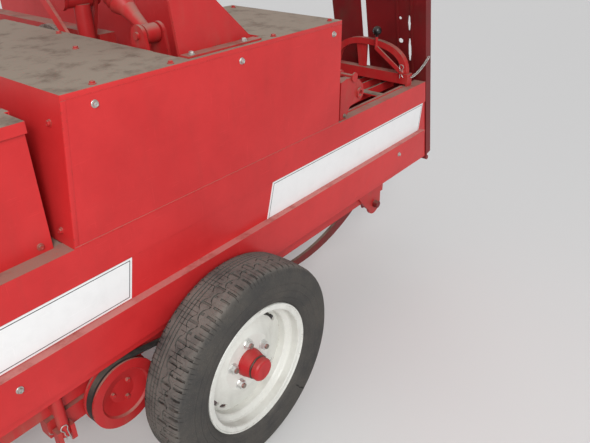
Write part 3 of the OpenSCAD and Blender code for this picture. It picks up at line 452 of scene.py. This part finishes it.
def pick(piece, kind, test):
    """Edit mode, with only those faces, edges or verts selected that pass a test."""
    if bpy.context.object.mode != "EDIT":
        bpy.ops.object.mode_set(mode="EDIT")
    bpy.ops.mesh.select_mode(type={"faces": "FACE", "edges": "EDGE", "verts": "VERT"}[kind])
    bpy.ops.mesh.select_all(action="DESELECT")
    mesh = bmesh.from_edit_mesh(piece.data)
    mesh.normal_update()
    for part in getattr(mesh, kind):
        if test(part):
            part.select_set(True)
    mesh.select_flush_mode()
    bmesh.update_edit_mesh(piece.data)


def done(piece, name, body, material, angle=32):
    """Shading, name, finish and the body that the piece rides on."""
    take(piece)
    bpy.ops.object.shade_smooth_by_angle(angle=math.radians(angle))
    piece.name = piece.data.name = name
    if material is not None:
        paint(piece, material)
    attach(piece, body)
    return piece


def twin_of(pattern, place, turn):
    """A copy with its own mesh, turned about zero and then moved."""
    take(pattern)
    bpy.ops.object.duplicate(linked=False)
    twin = bpy.context.object
    twin.rotation_euler, twin.location = turn, place
    settle()
    return twin


def copied(pattern, name, body, place, turn):
    """A copy laid in its place as a finished piece."""
    return done(twin_of(pattern, place, turn), name, body, None)


def joined(name, *parts):
    take(parts[0])
    for part in parts[1:]:
        part.select_set(True)
    bpy.ops.object.join()
    bpy.context.object.name = name
    return bpy.context.object


WASHER_THICK = 0.0022


def hex_head(across, height, washer, material):
    """A washer and a hexagon head with turned corners, standing on zero."""
    head = begin("cylinder", vertices=6, radius=across / math.sqrt(3), depth=height,
                 location=(0, 0, WASHER_THICK + height / 2))
    pick(head, "edges", lambda edge: min(v.co.z for v in edge.verts) > WASHER_THICK + height * 0.9)
    bpy.ops.mesh.bevel(offset=height * 0.2, segments=2)
    pick(head, "faces", lambda face: face.normal.z > 0.95 and middle_of(face).z > height * 0.9)
    bpy.ops.mesh.inset(thickness=across * 0.14, depth=0.0006)
    bpy.ops.mesh.inset(thickness=across * 0.06, depth=-0.0006)
    leave_edit()
    ring = begin("cylinder", vertices=24, radius=washer, depth=WASHER_THICK,
                 location=(0, 0, WASHER_THICK / 2))
    pick(ring, "edges", lambda edge: min(v.co.z for v in edge.verts) > WASHER_THICK * 0.9)
    bpy.ops.mesh.bevel(offset=WASHER_THICK * 0.35, segments=1)
    leave_edit()
    both = joined("hex_head", head, ring)
    paint(both, material)
    return both


def facing_left(spin):
    """A turn from pointing up to pointing left, spun about its own axis."""
    return (Quaternion((1, 0, 0), -math.pi / 2) @ Quaternion((0, 0, 1), spin)).to_euler()


def on_circle(y, radius, degrees, x=0.0, z=TYRE_R):
    """A point on a circle that faces sideways, about the wheels' axis if no other is given."""
    angle = math.radians(degrees)
    return at(x + radius * math.cos(angle), y, z + radius * math.sin(angle))


# Tyre: carcass drawn out from the tread band, grooves pressed in, two of them then drawn into zigzags.
# From its middle the tread falls by the square of the distance over CROWN. The wall line is given as distance
# from the tyre's middle and radius. A wave is given as its first and last row of the tread, with the share of
# the zigzag at each. A block cut is given by its step and its rows.
TREAD_HALF, CROWN, SEGMENTS, ROWS, PITCH = 0.056, 1.05, 288, 28, 8
WALL_LINE = [(0.0650, 0.3215), (0.0725, 0.3110), (0.0768, 0.2950), (0.0775, 0.2700), (0.0765, 0.2480),
             (0.0725, 0.2270), (0.0660, 0.2140), (0.0575, 0.2092), (0.0562, 0.2060), (0.0562, 0.1912)]
ZIGZAG = [0.0048, 0.0036, 0.0000, -0.0036, -0.0048, -0.0036, 0.0000, 0.0036]
WAVES = ((10, 13, 0, 1), (14, 18, 1, -1), (19, 23, -1, 0))
RIB_GROOVES, WAVED_GROOVES, SHOULDER_ROW, SHOULDER_CUTS = (3, 6, 9), (13, 18), 22, (0, 4)
BLOCK_CUTS = {4: (14, 15, 16, 17), 0: (19, 20)}
GROOVE_DEEP, GROOVED_ABOVE, GROOVED_WITHIN, ABOVE_WALLS = 0.0055, 0.3155, 0.066, 0.30
ROW_NEAR, GROOVED_ROW_NEAR = 0.0005, 0.0009


def row_across(row):
    """How far from the tyre's middle a line between rows lies."""
    return -TREAD_HALF + 2 * TREAD_HALF * row / ROWS


def wave_share(row):
    """How far a row of the tread takes part in the zigzag, from -1 to 1."""
    for low, high, start, end in WAVES:
        if low <= row <= high + 1:
            return start + (end - start) * min(1, (row - low) / (high - low))
    return 0


def tyre(name, side, hand_out, body):
    centre = at(0, side, TYRE_R)

    def off(point):
        return (point.y - centre.y) * hand_out

    def column(point):
        turn = math.atan2(point.z - centre.z, point.x - centre.x) / math.tau * SEGMENTS
        return turn % SEGMENTS

    def grooved(face):
        place = middle_of(face)
        radius = math.hypot(place.x - centre.x, place.z - centre.z)
        if radius < GROOVED_ABOVE or abs(off(place)) > GROOVED_WITHIN:
            return False
        step = int(column(place)) % PITCH
        row = int(math.floor((off(place) + TREAD_HALF) / (2 * TREAD_HALF) * ROWS))
        if row in RIB_GROOVES or row in WAVED_GROOVES:
            return True
        if row > SHOULDER_ROW or row < 0:
            return step in SHOULDER_CUTS
        return row in BLOCK_CUTS.get(step, ())

    piece = begin("cylinder", vertices=SEGMENTS, radius=TYRE_R, depth=2 * TREAD_HALF, end_fill_type="NOTHING",
                  location=centre, rotation=(math.pi / 2, 0, 0))
    pick(piece, "edges", lambda edge: abs(edge.verts[0].co.y - edge.verts[1].co.y) > 0.01)
    bpy.ops.mesh.subdivide(number_cuts=ROWS - 1)
    for row in range(ROWS + 1):
        across = row_across(row)
        pick(piece, "verts", lambda vert: abs(off(vert.co) - across) < ROW_NEAR)
        small = 1 - (across * across / CROWN) / TYRE_R
        bpy.ops.transform.resize(value=(small, 1, small), center_override=centre)
    for hand in (-1, 1):
        last, reach = TREAD_HALF, TYRE_R - TREAD_HALF * TREAD_HALF / CROWN
        pick(piece, "edges", lambda edge: edge.is_boundary and off(middle_of(edge)) * hand > 0)
        for out, radius in WALL_LINE:
            bpy.ops.mesh.extrude_edges_move(
                TRANSFORM_OT_translate={"value": (0, hand_out * hand * (out - last), 0)})
            bpy.ops.transform.resize(value=(radius / reach, 1, radius / reach), center_override=centre)
            last, reach = out, radius
    pick(piece, "edges", lambda edge: edge.is_boundary)
    bpy.ops.mesh.bridge_edge_loops()
    bpy.ops.mesh.select_all(action="SELECT")
    bpy.ops.mesh.normals_make_consistent(inside=False)
    pick(piece, "faces", grooved)
    bpy.ops.mesh.extrude_region_shrink_fatten(TRANSFORM_OT_shrink_fatten={"value": -GROOVE_DEEP})
    for row in range(ROWS + 1):
        share, across = wave_share(row), row_across(row)
        for step, shift in enumerate(ZIGZAG):
            if abs(share * shift) > 0.0001:
                pick(piece, "verts", lambda vert: abs(off(vert.co) - across) < GROOVED_ROW_NEAR
                     and (vert.co - centre).length > ABOVE_WALLS
                     and int(round(column(vert.co))) % PITCH == step)
                bpy.ops.transform.translate(value=(0, hand_out * share * shift, 0))
    leave_edit()
    piece = done(piece, name, body, rubber, angle=40)
    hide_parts(name.replace("_carcass", ""))
    return piece


tyre("tyre_left_carcass", WHEEL_Y, 1, "wheel_left")
tyre("tyre_right_carcass", WHEEL_Y - TRACK, -1, "wheel_right")

# Bolts and nuts, by width across the flats, height and washer radius
zinc_head = hex_head(0.0115, 0.0055, 0.0090, zinc)
red_head = hex_head(0.0110, 0.0045, 0.0085, part_red)
small_head = hex_head(0.0120, 0.0055, 0.0080, part_red)
wheel_nut = hex_head(0.0240, 0.0130, 0.0165, bright_zinc)
dark_head = hex_head(0.0110, 0.0050, 0.0080, raw_steel)


def numbered(pattern, label, places, turn_of):
    """Copies on the chassis at places given as in at(), each with a turn of its own."""
    for number, place in enumerate(places):
        copied(pattern, f"{label}_{number}", "chassis", at(*place), turn_of(number))


numbered(zinc_head, "hood_side_bolt", [(x, HOOD_SIDE, 1.170) for x in (0.270, -0.180, -0.600)],
         lambda number: facing_left(0.4 * number))
numbered(zinc_head, "tower_nut", [(x, 0.212, ROOF + 0.005) for x in (-0.033, -0.221)],
         lambda number: (0, 0, 0.5 * number))
ROOF_BOLTS = ((0.092, -0.090), (0.256, 0.222), (0.043, 0.222), (0.011, -0.299), (-0.330, 0.222),
              (0.300, -0.290), (0.300, -0.560), (-0.340, -0.180), (-0.610, 0.215), (-0.610, -0.200))
numbered(red_head, "roof_bolt", [(x, y, ROOF) for x, y in ROOF_BOLTS],
         lambda number: (0, 0, 0.7 * number))
numbered(zinc_head, "rail_bolt", [(x, RAIL, 0.615) for x in (0.589, -1.066, 1.150)],
         lambda number: facing_left(0.3 * number))
copied(dark_head, "bracket_bolt", "chassis", at(-0.690, 0.231, 0.878), facing_left(0.2))
for number, turn in enumerate((10, 130, 250)):
    copied(small_head, f"pulley_bolt_{number}", "pickup_shaft",
           on_circle(0.232, 0.031, turn, PULLEY_X, PULLEY_Z), facing_left(turn))

# Wheel fittings: threaded stud ends, valves, nuts and a dark, uneven ring round the hub
STUD_R, STUD_LONG, STUD_RINGS = 0.0079, 0.0062, 7
VALVE_R, VALVE_FOOT, VALVE_CIRCLE, VALVE_TURN, VALVE_IN = 0.0058, 0.008, 0.152, 131, 0.006
VALVE_STEPS = ((0.72, 0.004), (1.0, 0.012), (1.18, 0.0006), (1.0, 0.008), (0.8, 0.001))
NUTS, NUT_CIRCLE, FIRST_NUT, NUT_OUT, STUD_OUT = 5, 0.070, 18, 0.014, 0.0285
DARK_RING_R, DARK_RING_OUT = 0.0352, 0.054

stud_end = begin("cylinder", vertices=20, radius=STUD_R, depth=STUD_LONG, location=(0, 0, STUD_LONG / 2))
pick(stud_end, "edges", lambda edge: abs(edge.verts[0].co.z - edge.verts[1].co.z) > 0.004)
bpy.ops.mesh.subdivide(number_cuts=STUD_RINGS - 1)
pick(stud_end, "verts", lambda vert: vert.co.z > 0.0005
     and int(round(vert.co.z / STUD_LONG * STUD_RINGS)) % 2 == 0)
bpy.ops.transform.resize(value=(0.93, 0.93, 1), center_override=(0, 0, 0))
pick(stud_end, "faces", lambda face: face.normal.z > 0.9 and middle_of(face).z > STUD_LONG - 0.0001)
bpy.ops.mesh.inset(thickness=0.0012, depth=0.0004)
leave_edit()
paint(stud_end, raw_steel)
valve = begin("cylinder", vertices=20, radius=VALVE_R, depth=0.010, location=(0, 0, VALVE_FOOT - 0.005))
for taper, rise in VALVE_STEPS:
    pick(valve, "faces", lambda face: face.normal.z > 0.9 and middle_of(face).z > VALVE_FOOT - 0.0001)
    bpy.ops.mesh.extrude_region_move(TRANSFORM_OT_translate={"value": (0, 0, rise)})
    bpy.ops.transform.resize(value=(taper, taper, 1), center_override=(0, 0, 0))
leave_edit()
paint(valve, line_black)
for side, hand, body in ((WHEEL_Y, 1, "wheel_left"), (WHEEL_Y - TRACK, -1, "wheel_right")):
    outward, ring_middle = -hand * math.pi / 2, at(0, side + hand * DARK_RING_OUT, TYRE_R)
    ring = begin("torus", major_radius=DARK_RING_R, minor_radius=0.0027, major_segments=44, minor_segments=8,
                 location=ring_middle, rotation=(math.pi / 2, 0, 0))
    pick(ring, "verts", lambda vert: math.sin(7 * math.atan2(vert.co.z - TYRE_R, vert.co.x - zero.x)
                                              + 40 * vert.co.x) > 0.3)
    bpy.ops.transform.resize(value=(1.025, 1, 1.025), center_override=ring_middle)
    leave_edit()
    done(ring, f"{body}_uneven_dark_ring", body, painted_shadow_and_ring_brown, 60)
    copied(valve, f"{body}_valve", body,
           on_circle(side - hand * VALVE_IN, VALVE_CIRCLE, VALVE_TURN), (outward, 0, 0))
    for number in range(NUTS):
        turn = FIRST_NUT + number * 360 / NUTS
        copied(wheel_nut, f"{body}_nut_{number}", body,
               on_circle(side + hand * NUT_OUT, NUT_CIRCLE, turn), (outward, 0.3 * number, 0))
        copied(stud_end, f"{body}_stud_{number}", body,
               on_circle(side + hand * STUD_OUT, NUT_CIRCLE, turn), (outward, 0, 0))

# Bolt groups: rays go into a solid's box through one face, and a head stands wherever a ray meets the solid
RAY_START = 0.05


def aimed(carrier, face, targets):
    """Rays through a face, such as "+z", at pairs of the other two coordinates."""
    low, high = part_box(carrier)
    axis, sign = "xyz".index(face[1]), (1 if face[0] == "+" else -1)
    others = [i for i in range(3) if i != axis]
    rays = []
    for target in targets:
        start, way = Vector((0, 0, 0)), Vector((0, 0, 0))
        start[axis] = (high if sign > 0 else low)[axis] + sign * RAY_START
        way[axis] = -sign
        for i, value in zip(others, target):
            start[i] = value
        rays.append((start, way))
    return rays


def rays_at(carrier, face, *parts):
    """Rays through a face, at every pair of fractions of its first and its second side."""
    low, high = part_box(carrier)
    sides = [i for i in range(3) if i != "xyz".index(face[1])]
    first, second = [[low[i] + (high[i] - low[i]) * part for part in row] for i, row in zip(sides, parts)]
    return aimed(carrier, face, [(a, b) for a in first for b in second])


def ring_rays(carrier, face, middle, radius):
    """Six rays through a face, on a circle about a middle."""
    turns = [math.tau * i / 6 for i in range(6)]
    return aimed(carrier, face, [(middle[0] + radius * math.cos(a), middle[1] + radius * math.sin(a))
                                 for a in turns])


def along(count, low=0.03, high=0.97):
    """So many fractions from low to high."""
    return [low + (high - low) * i / (count - 1) for i in range(count)]


def bolt_group(name, carrier, rays, pattern=red_head, body="chassis"):
    """Heads laid on a solid where rays meet it, joined into one piece."""
    heads = []
    for number, (start, way) in enumerate(rays):
        hit, place, normal, _ = node[carrier].ray_cast(start, way)
        if hit:
            turn = normal.to_track_quat("Z", "Y") @ Quaternion((0, 0, 1), 0.5 * number)
            heads.append(twin_of(pattern, place, turn.to_euler()))
    if heads:
        done(joined(name, *heads) if len(heads) > 1 else heads[0], name, body, None)


bolt_group("feed_end_bolts", "feed_housing", rays_at("feed_housing", "-y", (0.04, 0.96), (0.15, 0.5, 0.85)))
bolt_group("feed_roof_bolts", "feed_housing", rays_at("feed_housing", "+z", (0.42, 0.97), along(5)))
bolt_group("right_wall_bolts", "right_wall", rays_at(
    "right_wall", "-y", (0.02, 0.12, 0.22, 0.80, 0.90, 0.98), (0.06, 0.94)))
bolt_group("hood_right_bolts", "hood", rays_at("hood", "-y", along(4, 0.05, 0.95), (0.08, 0.46)))
bolt_group("hood_front_bolts", "hood", rays_at("hood", "+x", (0.62, 0.80, 0.97), (0.06, 0.52)))
bolt_group("hood_screen_bolts", "hood", rays_at("hood", "-x", along(4, 0.04, 0.5), (0.70, 0.95)))
bolt_group("shield_bolts", "front_shield", rays_at("front_shield", "+z", (0.10, 0.90), along(4, 0.05, 0.95)))
bolt_group("box_side_bolts", "twine_box", rays_at("twine_box", "+y", along(3, 0.1, 0.95), (0.06,))
           + rays_at("twine_box", "-y", along(3, 0.1, 0.95), (0.06,)))
bolt_group("gearbox_cover_bolts", "gearbox", rays_at("gearbox", "+z", (0.1, 0.5, 0.9), (0.1, 0.9))
           + rays_at("gearbox", "-y", (0.12, 0.88), (0.12, 0.88)), dark_head)
flywheel_low, flywheel_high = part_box("flywheel")
flywheel_mid = (flywheel_low + flywheel_high) / 2
bolt_group("flywheel_bolts", "flywheel", ring_rays("flywheel", "+x", flywheel_mid.yz, 0.075),
           dark_head, "flywheel")
bolt_group("drawbar_bolts", "drawbar", rays_at("drawbar", "+z", (0.06, 0.12, 0.93), (0.5,)),
           dark_head, "drawbar")
bolt_group("bracket_bolts", "drawbar_bracket", rays_at("drawbar_bracket", "-z", (0.1, 0.9), (0.1, 0.9)),
           dark_head)
bolt_group("chute_bolts", "bale_chute", rays_at("bale_chute", "-x", (0.03, 0.35, 0.65, 0.97), (0.06, 0.97)),
           dark_head, "chute")
reel_mid = at(REEL_X, 0, REEL_Z).xz
for label, face in (("left", "+y"), ("right", "-y")):
    bolt_group(f"pickup_{label}_bolts", "pickup_frame", ring_rays("pickup_frame", face, reel_mid, 0.060)
               + ring_rays("pickup_frame", face, reel_mid, 0.185), body="pickup")
strips = along(12, 0.02, 0.98)
bolt_group("stripper_bolts", "pickup_strippers", rays_at("pickup_strippers", "-z", (0.03,), strips)
           + rays_at("pickup_strippers", "+x", strips, (0.3,)), small_head, body="pickup")
bolt_group("saddle_bolts", "axle", rays_at("axle", "-z", (0.35, 0.65), (0.12, 0.28, 0.72, 0.88)),
           dark_head)

# Gauge wheel: a pressed disc with a raised hub on either side
gauge_low, gauge_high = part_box("gauge_wheel")
gauge_mid, gauge_r = (gauge_low + gauge_high) / 2, (gauge_high.z - gauge_low.z) / 2
for hand, side in ((1, gauge_high.y), (-1, gauge_low.y)):
    hit, place, _, _ = node["gauge_wheel"].ray_cast(
        Vector((gauge_mid.x + gauge_r * 0.5, side + hand * RAY_START, gauge_mid.z)), Vector((0, -hand, 0)))
    disc = begin("cylinder", vertices=44, radius=gauge_r * 0.62, depth=0.004,
                 location=(gauge_mid.x, (place.y if hit else side) + hand * 0.001, gauge_mid.z),
                 rotation=(math.pi / 2, 0, 0))
    pick(disc, "faces", lambda face: face.normal.y * hand > 0.9)
    for share, depth in ((0.05, 0.0), (0.06, -0.0025), (0.18, 0.0), (0.05, 0.004)):
        bpy.ops.mesh.inset(thickness=gauge_r * share, depth=depth)
    leave_edit()
    done(disc, f"gauge_disc_{'left' if hand > 0 else 'right'}", "gauge", hub_red)

for pattern in (zinc_head, red_head, small_head, wheel_nut, dark_head, stud_end, valve):
    bpy.data.objects.remove(pattern)

# Sheets laid on the walls: each starts as a small blank, whose corners are moved to (x, z) places. A corner is
# picked by lying beyond this share of the blank's half sizes.
BLANK_X, BLANK_Z, CORNER = 0.4, 0.06, 0.95


def flat_plate(corners, inner_y, thick):
    """Corners run from the top edge's front end round by the rear to the bottom edge's front end."""
    half_x, half_z = BLANK_X / 2, BLANK_Z / 2
    mid_x, mid_z = sum(c[0] for c in corners) / 4, sum(c[1] for c in corners) / 4
    plate = begin("cube", size=1, location=at(mid_x, inner_y + thick / 2, mid_z),
                  scale=(BLANK_X, thick, BLANK_Z))
    for (x, z), hand, lift in zip(corners, (1, -1, -1, 1), (1, 1, -1, -1)):
        pick(plate, "verts", lambda vert: (vert.co.x - at(mid_x, 0, 0).x) * hand > half_x * CORNER
             and (vert.co.z - mid_z) * lift > half_z * CORNER)
        bpy.ops.transform.translate(value=(x - mid_x - hand * half_x, 0, z - mid_z - lift * half_z))
    return plate


def folded_lip(name, corners, inner_y, thick, material):
    """A strip of folded sheet with softened outer edges; the band's dark strip is a painted shadow line."""
    lip = flat_plate(corners, inner_y, thick)
    pick(lip, "edges", lambda edge: min(v.co.y for v in edge.verts) > at(0, inner_y + thick * 0.6, 0).y)
    bpy.ops.mesh.bevel(offset=thick * 0.45, segments=2)
    leave_edit()
    return done(lip, name, "chassis", material)


folded_lip("hood_lower_lip", [(0.383, 0.8690), (-0.640, 0.8690), (-0.640, 0.8655), (0.383, 0.8655)],
           HOOD_SIDE, 0.0012, hood_red)
folded_lip("hood_roof_lip", [(0.344, 1.2058), (-0.643, 1.2058), (-0.643, 1.1935), (0.344, 1.1935)],
           HOOD_SIDE, 0.0010, hood_red)
folded_lip("hood_front_fold", [(0.3455, 1.1930), (0.3335, 1.1930), (0.3715, 0.8695), (0.3835, 0.8695)],
           HOOD_SIDE, 0.0010, hood_red)
# A thin dark brown strip under the band's lower edge: painted shadow of the step where the upper sheet laps
# over the lower
folded_lip("band_seam_painted_shadow", [(0.243, 0.7762), (-0.296, 0.7762), (-0.296, 0.7735), (0.243, 0.7735)],
           WALL, 0.0006, painted_shadow_and_ring_brown)

PLATE_THICK, BORDER_IN, BORDER_WIDE = 0.0016, 0.0055, 0.0022


def side_plate(name, corners):
    """A blank white plate with a thin black border."""
    plate = flat_plate(corners, WALL, PLATE_THICK)
    paint(plate, plate_white, line_black)
    pick(plate, "faces", lambda face: face.normal.y > 0.9)
    for thickness, material_number in ((BORDER_IN, 1), (BORDER_WIDE, 0)):
        bpy.ops.mesh.inset(thickness=thickness, depth=0.0)
        plate.active_material_index = material_number
        bpy.ops.object.material_slot_assign()
    leave_edit()
    return done(plate, name, "chassis", None)


side_plate("rear_white_plate", [(-0.296, 0.7715), (-1.288, 0.7715), (-1.270, 0.636), (-0.262, 0.648)])
side_plate("front_white_plate", [(1.140, 0.7715), (0.243, 0.7715), (0.264, 0.658), (1.105, 0.658)])


# Wire pieces
def wire(points, radius, closed=False):
    """A bent round wire along a smooth path, as a mesh."""
    clear_selection()
    bpy.ops.curve.primitive_nurbs_path_add(location=(0, 0, 0))
    curve = bpy.context.object.data
    curve.splines.clear()
    line = curve.splines.new("NURBS")
    line.points.add(len(points) - 1)
    for point, place in zip(line.points, points):
        point.co = (*place, 1)
    line.order_u, line.use_cyclic_u, line.use_endpoint_u, line.resolution_u = 3, closed, not closed, 4
    curve.dimensions, curve.bevel_depth, curve.bevel_resolution = "3D", radius, 2
    curve.use_fill_caps = True
    bpy.ops.object.convert(target="MESH")
    bpy.ops.object.mode_set(mode="EDIT")
    bpy.ops.mesh.select_all(action="SELECT")
    bpy.ops.mesh.remove_doubles(threshold=0.00002)
    bpy.ops.mesh.normals_make_consistent(inside=False)
    leave_edit()
    return bpy.context.object


# Lid handle: a bent rod with its ends on the lid
lid_low, lid_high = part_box("twine_lid")
handle_x, handle_y, handle_z = lid_high.x - 0.045, (lid_low.y + lid_high.y) / 2, lid_high.z
grip = wire([(handle_x, handle_y + y, handle_z + z) for y, z in (
    (-0.070, -0.002), (-0.070, 0.018), (-0.068, 0.028), (-0.056, 0.030), (0.0, 0.030), (0.056, 0.030),
    (0.068, 0.028), (0.070, 0.018), (0.070, -0.002))], 0.0045)
done(grip, "lid_handle", "lid", raw_steel, 50)

# Spring pins: a straight leg, an eye and a waved leg
EYE_R, EYE_Z, PIN_WIRE = 0.010, 0.024, 0.0015


def spring_pin(name, place, turn):
    straight = [(-0.0045, 0, -0.022), (-0.0045, 0, -0.004), (-0.0050, 0, 0.009)]
    eye = [(EYE_R * math.sin(math.radians(a)), 0, EYE_Z + EYE_R * math.cos(math.radians(a)))
           for a in (-150, -110, -60, 0, 60, 110, 150)]
    waved = [(0.0035, 0, 0.009), (0.0060, 0, 0.002), (0.0022, 0, -0.006), (0.0070, 0, -0.014),
             (0.0110, 0, -0.018)]
    pin = wire(straight + eye + waved, PIN_WIRE)
    paint(pin, zinc)
    pin.rotation_euler, pin.location = turn, place
    take(pin)
    settle()
    return done(pin, name, "chassis", None, 50)


spring_pin("clip_post_pin", at(0.5085, 0.2330, 0.3800), (0, 0.15, 0))
spring_pin("clip_post_pin_low", at(0.5085, 0.2025, 0.3700), (0.3, 0.9, 0.2))
spring_pin("density_foot_pin", at(-1.1575, 0.1890, 0.9210), (0, 0, math.pi / 2))

# Ball on the density lever, with the neck that grips its rod
BALL_X, BALL_Y, BALL_Z, BALL_R, NECK_Z = -1.164, 0.062, 1.070, 0.0186, 1.0465
ball = begin("uv_sphere", segments=28, ring_count=16, radius=BALL_R, location=at(BALL_X, BALL_Y, BALL_Z))
pick(ball, "faces", lambda face: face.normal.z < -0.90)
bpy.ops.mesh.inset(thickness=0.0006, depth=0)
bpy.ops.mesh.extrude_region_move(TRANSFORM_OT_translate={"value": (0, 0, -0.006)})
bpy.ops.transform.resize(value=(1, 1, 0.05), center_override=at(BALL_X, BALL_Y, NECK_Z))
leave_edit()
done(ball, "density_lever_ball", "chassis", knob_black, 50)

# Chain from the density frame's foot to the tab on the folded chute
LINKS, CHAIN_SAG = 9, 0.05
link = wire([(0.0065 * math.copysign(1, math.cos(a)) + 0.0045 * math.cos(a), 0.0048 * math.sin(a), 0)
             for a in [math.radians(22.5 + 45 * i) for i in range(8)]], 0.0016, closed=True)
paint(link, zinc)
chain_from, chain_to = at(-1.197, 0.217, 0.900), at(-1.279, 0.247, 0.972)
links = []
for number in range(LINKS):
    part = (number + 0.5) / LINKS
    here = chain_from.lerp(chain_to, part) - Vector((0, 0, CHAIN_SAG * part * (1 - part)))
    run = (chain_to - chain_from) - Vector((0, 0, CHAIN_SAG * (1 - 2 * part)))
    turn = run.to_track_quat("X", "Z") @ Quaternion((1, 0, 0), math.pi / 2 * (number % 2))
    links.append(twin_of(link, here, turn.to_euler()))
chain = done(joined("chute_chain_links", *links), "chute_chain_links", "chassis", None)
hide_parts("chute_chain")
bpy.data.objects.remove(link)

# Floor, lamps and world
FLOOR_GREY, SKY_LIGHT, SKY_SEEN = (0.70, 0.69, 0.67), (0.50, 0.51, 0.54), (0.68, 0.68, 0.67)
floor = begin("plane", size=60, location=(0, 0, 0))
floor.name = "pale_floor"
floor_paint, _, floor_shader = new_material("pale_floor_paint", FLOOR_GREY)
floor_shader.inputs["Base Color"].default_value = (*FLOOR_GREY, 1)
floor_shader.inputs["Roughness"].default_value = 0.95
floor_shader.inputs["Specular IOR Level"].default_value = 0.1
paint(floor, floor_paint)


def soft_lamp(name, kind, place, aim, size, power):
    """A lamp aimed at a point. Its size is an angle for a sun and a width for an area."""
    data = bpy.data.lights.new(name, kind)
    data.energy = power
    if kind == "SUN":
        data.angle = size
    else:
        data.shape, data.size = "DISK", size
    lamp = bpy.data.objects.new(name, data)
    bpy.context.scene.collection.objects.link(lamp)
    lamp.location = place
    lamp.rotation_euler = (Vector(aim) - Vector(place)).to_track_quat("-Z", "Y").to_euler()


middle = at(0, 0, 0.8)
soft_lamp("key_lamp", "SUN", at(3.2, 4.2, 4.8), middle, 0.5, 1.35)
soft_lamp("fill_lamp", "SUN", at(-4.2, -2.5, 4.6), middle, 0.8, 0.45)
soft_lamp("near_lamp", "AREA", at(1.9, 2.3, 2.3), at(0.2, 0.1, 0.9), 0.8, 38)
world = bpy.data.worlds.new("studio_world")
bpy.context.scene.world = world
world.use_nodes = True
sky = world.node_tree
ray = add(sky, "LightPath").outputs
seen = math_node(sky, "MAXIMUM", ray["Is Camera Ray"], math_node(
    sky, "MAXIMUM", ray["Is Glossy Ray"], ray["Is Transmission Ray"]))
sky.links.new(blend(sky, seen, SKY_LIGHT, SKY_SEEN), sky.nodes["Background"].inputs[0])
sky.nodes["Background"].inputs[1].default_value = 1.0
